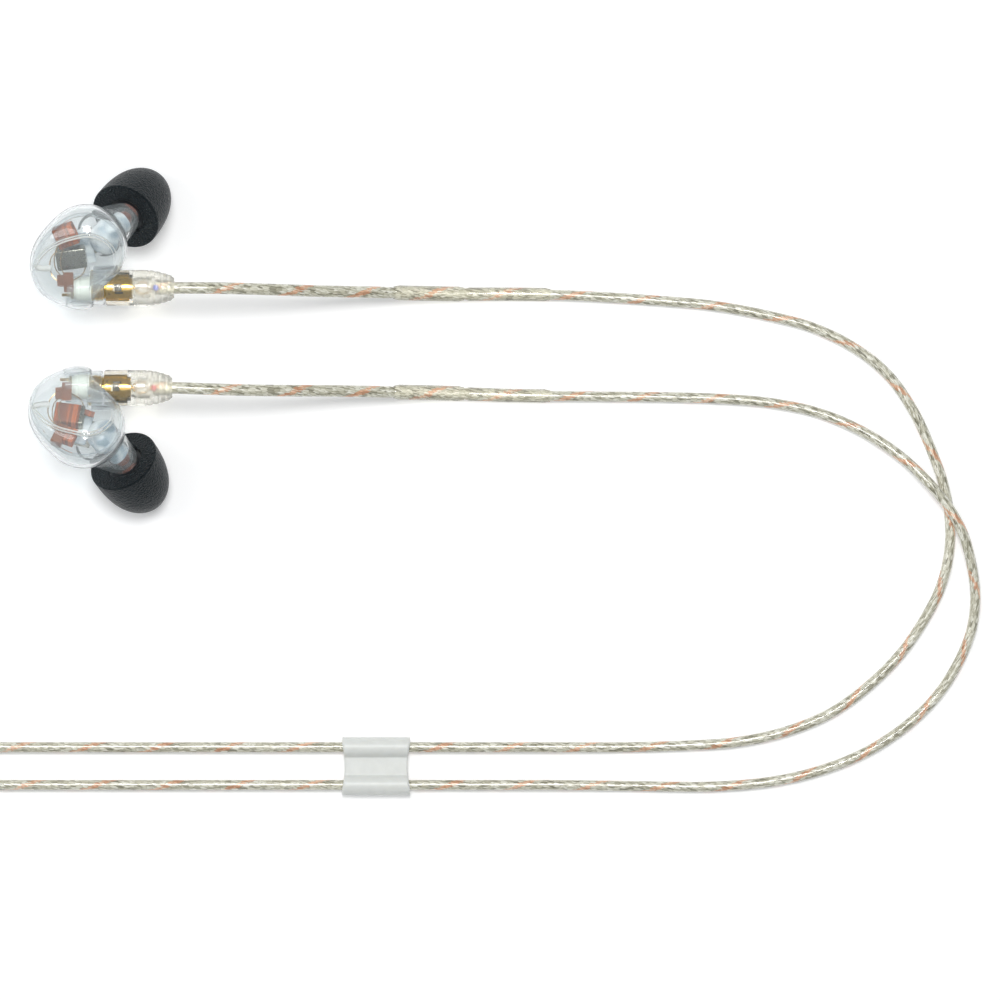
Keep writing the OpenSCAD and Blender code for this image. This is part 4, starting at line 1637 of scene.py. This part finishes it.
@dataclass
class MainCable:
    """The main cable: out of the Y-split, through the tied coil and into the stereo plug."""

    coil: CoilRoute = field(default_factory=CoilRoute)
    radius: float = 1.25
    jack: Vector = field(default_factory=lambda: Vector((-94.0, -42.0, 3.9)))

    def line(self) -> list[Vector]:
        """Gives the main cable's centreline."""
        lead_in = [(-50, -79.3, 2.2), (-53, -79.3, 2.2), (-57, -79.4, 1.5), (-62, -79.9, 1.25),
                   (-68, -80.8, 1.25)]
        lead_out = [(-93.3, -55, 7.4), (-93.8, -49, 5.2), (-94, -44, 3.9), (-94, -39, 3.9)]
        return smooth_route([*lead_in, *self.coil.points(), *lead_out], 1.0)

    def build_tie(self) -> bpy.types.Object:
        """Makes the strap round the coil's bundle.

        Returns:
            The object.
        """
        room, corner, thick, wall, width = 0.15, 1.6, 0.7, 0.6, 7.0
        inner, outer, top = 9.0 - room, 19.0 + room, 11.5
        x0, x1, z0, z1 = inner - thick / 2, outer + thick / 2, thick / 2, top
        line = []
        for cx, cz, a0 in ((x1 - corner, z0 + corner, -90), (x1 - corner, z1 - corner, 0),
                           (x0 + corner, z1 - corner, 90), (x0 + corner, z0 + corner, 180)):
            for k in range(0, 7):
                a = math.radians(a0 + 15 * k)
                line.append((cx + corner * math.cos(a), cz + corner * math.sin(a)))
        bm = bmesh.new()
        verts = [bm.verts.new((x, -width / 2, z)) for x, z in line]
        edges = [bm.edges.new(pair) for pair in zip(verts, [*verts[1:], verts[0]])]
        made = bmesh.ops.extrude_edge_only(bm, edges=edges)
        moved = [v for v in made["geom"] if isinstance(v, bmesh.types.BMVert)]
        bmesh.ops.translate(bm, verts=moved, vec=(0, width, 0))
        bmesh.ops.recalc_face_normals(bm, faces=bm.faces)
        bmesh.ops.solidify(bm, geom=bm.faces[:], thickness=wall)
        place = Matrix.Translation((self.coil.centre.x, self.coil.centre.y, 0))
        return make("coil_tie_look", bm, "strap", "cable", place, 40, ["coil_tie"])

    def build_plug(self) -> list[bpy.types.Object]:
        """Makes the strain relief and the body of the stereo plug.

        Returns:
            Both objects.
        """
        place = Matrix.Translation(self.jack) @ Matrix.Rotation(-math.pi / 2, 4, "X")
        relief = [(1.3, 0.0), (1.62, 0.1)]
        for i in range(1, 56):
            t = i / 55
            x = 0.3 + 10.7 * t
            ring = 0.22 if (x * 1.05) % 1.9 < 0.65 and x < 10.2 else 0.0
            relief.append((1.65 + 0.95 * t - ring, x))
        relief += [(1.3, 11.0)]
        body = [(0, 11.0), (3.0, 11.0), (3.5, 11.15), (3.86, 11.6)]
        for i in range(0, 41):
            x = 12.2 + 10.6 * i / 40
            groove = 0.16 if 14 < x < 21 and x % 1.2 < 0.4 else 0.0
            body.append((3.9 - groove, x))
        body += [(3.9, 24.3), (3.8, 24.9), (3.3, 25.4), (0, 25.5)]
        return [
            make(name, spun(profile, 64, closed), "black_moulding", "cable", place, 40, [node])
            for name, profile, closed, node in (
                ("relief_look", relief, True, "jack_relief"),
                ("jack_body_look", body, False, "jack_body"),
            )
        ]

    def build(self) -> None:
        line = self.line()
        length = run_length(line)
        replaced = ["main_cable", "cable_coil", "tail_cable"]
        bm = tube(line, self.radius, 16)
        cable = make("main_cable_look", bm, "braided_cable", "cable", stands_for=replaced)
        pieces = [self.build_tie(), *self.build_plug()]
        log.info("main cable: %.0f mm long", length)

    def dress(self) -> None:
        """Gives the stereo plug's contacts their finishes."""
        for node in ("jack_sleeve", "jack_ring", "jack_tip"):
            WARDROBE.dress_cad(node, "gold")
        WARDROBE.dress_cad("jack_bands", "black_band")


# ---------------------------------------------------------------- studio


@dataclass
class Studio:
    """The pale surface, the soft light and the camera straight above."""

    centre: tuple[float, float] = (73.67, -29.91)
    width: float = 185.2
    level: float = 6.0
    lens: float = 400.0
    sensor: float = 36.0
    glow: float = 0.2

    def build_camera(self) -> None:
        """Puts a long-lens camera straight above the pair."""
        data = bpy.data.cameras.new("camera")
        data.lens, data.sensor_width, data.sensor_fit = self.lens, self.sensor, "HORIZONTAL"
        away = self.width * self.lens / self.sensor + self.level
        data.clip_start, data.clip_end = 0.1, 20.0
        camera = linked("camera", data)
        camera.location = (self.centre[0] * MM, self.centre[1] * MM, away * MM)
        bpy.context.scene.camera = camera

    def light(self, name: str, place: Sequence[float], size: Sequence[float], power: float) -> None:
        """Adds a soft box that points at the pair.

        Args:
            name: the light's name.
            place: where it hangs, in metres.
            size: its width and height in metres.
            power: its power in watts.
        """
        data = bpy.data.lights.new(name, "AREA")
        data.shape, data.size, data.size_y, data.energy = "ELLIPSE", size[0], size[1], power
        lamp = linked(name, data)
        lamp.location = place
        aim = Vector((0.05, -0.02, 0.0)) - Vector(place)
        lamp.rotation_euler = aim.to_track_quat("-Z", "Y").to_euler()

    def build_floor(self) -> None:
        """Makes the plain pale surface."""
        bm = bmesh.new()
        bmesh.ops.create_grid(bm, x_segments=1, y_segments=1, size=4.0)
        mesh = bpy.data.meshes.new("floor")
        bm.to_mesh(mesh)
        bm.free()
        g = Graph("paper")
        tone = g.mix(g.noise(0.02), (0.90, 0.90, 0.90), (0.92, 0.92, 0.92))
        paper = g.principled(
            Base_Color=tone,
            Roughness=0.95,
            Specular_IOR_Level=0.0,
            Emission_Color=(1.0, 1.0, 1.0, 1.0),
            Emission_Strength=self.glow,
        )
        mesh.materials.append(g.close(paper))
        linked("floor", mesh)

    def build(self) -> None:
        """Makes the surface, the lights and the world's soft white."""
        self.build_floor()
        self.light("key", (0.05, 0.34, 1.5), (0.5, 0.5), 12.15)
        self.light("fill", (-0.8, 0.2, 0.75), (0.3, 1.0), 2.34)
        self.light("top", (0.2, -0.1, 1.9), (1.2, 1.2), 4.5)
        world = bpy.data.worlds.new("studio")
        world.use_nodes = True
        background = world.node_tree.nodes["Background"]
        background.inputs["Color"].default_value = (0.93, 0.97, 1.0, 1.0)
        background.inputs["Strength"].default_value = 0.3
        bpy.context.scene.world = world
        bpy.context.scene.view_settings.view_transform = "Standard"
        bpy.context.scene.view_settings.look = "None"


def main() -> None:
    """Builds the studio, the cords and then the pair."""
    logging.basicConfig(level=logging.INFO, format="%(message)s")
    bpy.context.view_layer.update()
    studio = Studio()
    studio.build_camera()
    for lead in LEADS:
        lead.build()
    cable = MainCable()
    cable.build()
    cable.dress()
    studio.build()
    form = ShellForm()
    cover, inner = form.halves()
    for seat in SEATS:
        earphone = Earphone(seat)
        earphone.build(cover, inner, form.highlight_lines)
        earphone.dress()
        plug = Plug(seat)
        plug.build()
        plug.dress()
    cover.free()
    inner.free()
    Cinch().build()
    Splitter().build()


if __name__ == "__main__":
    main()
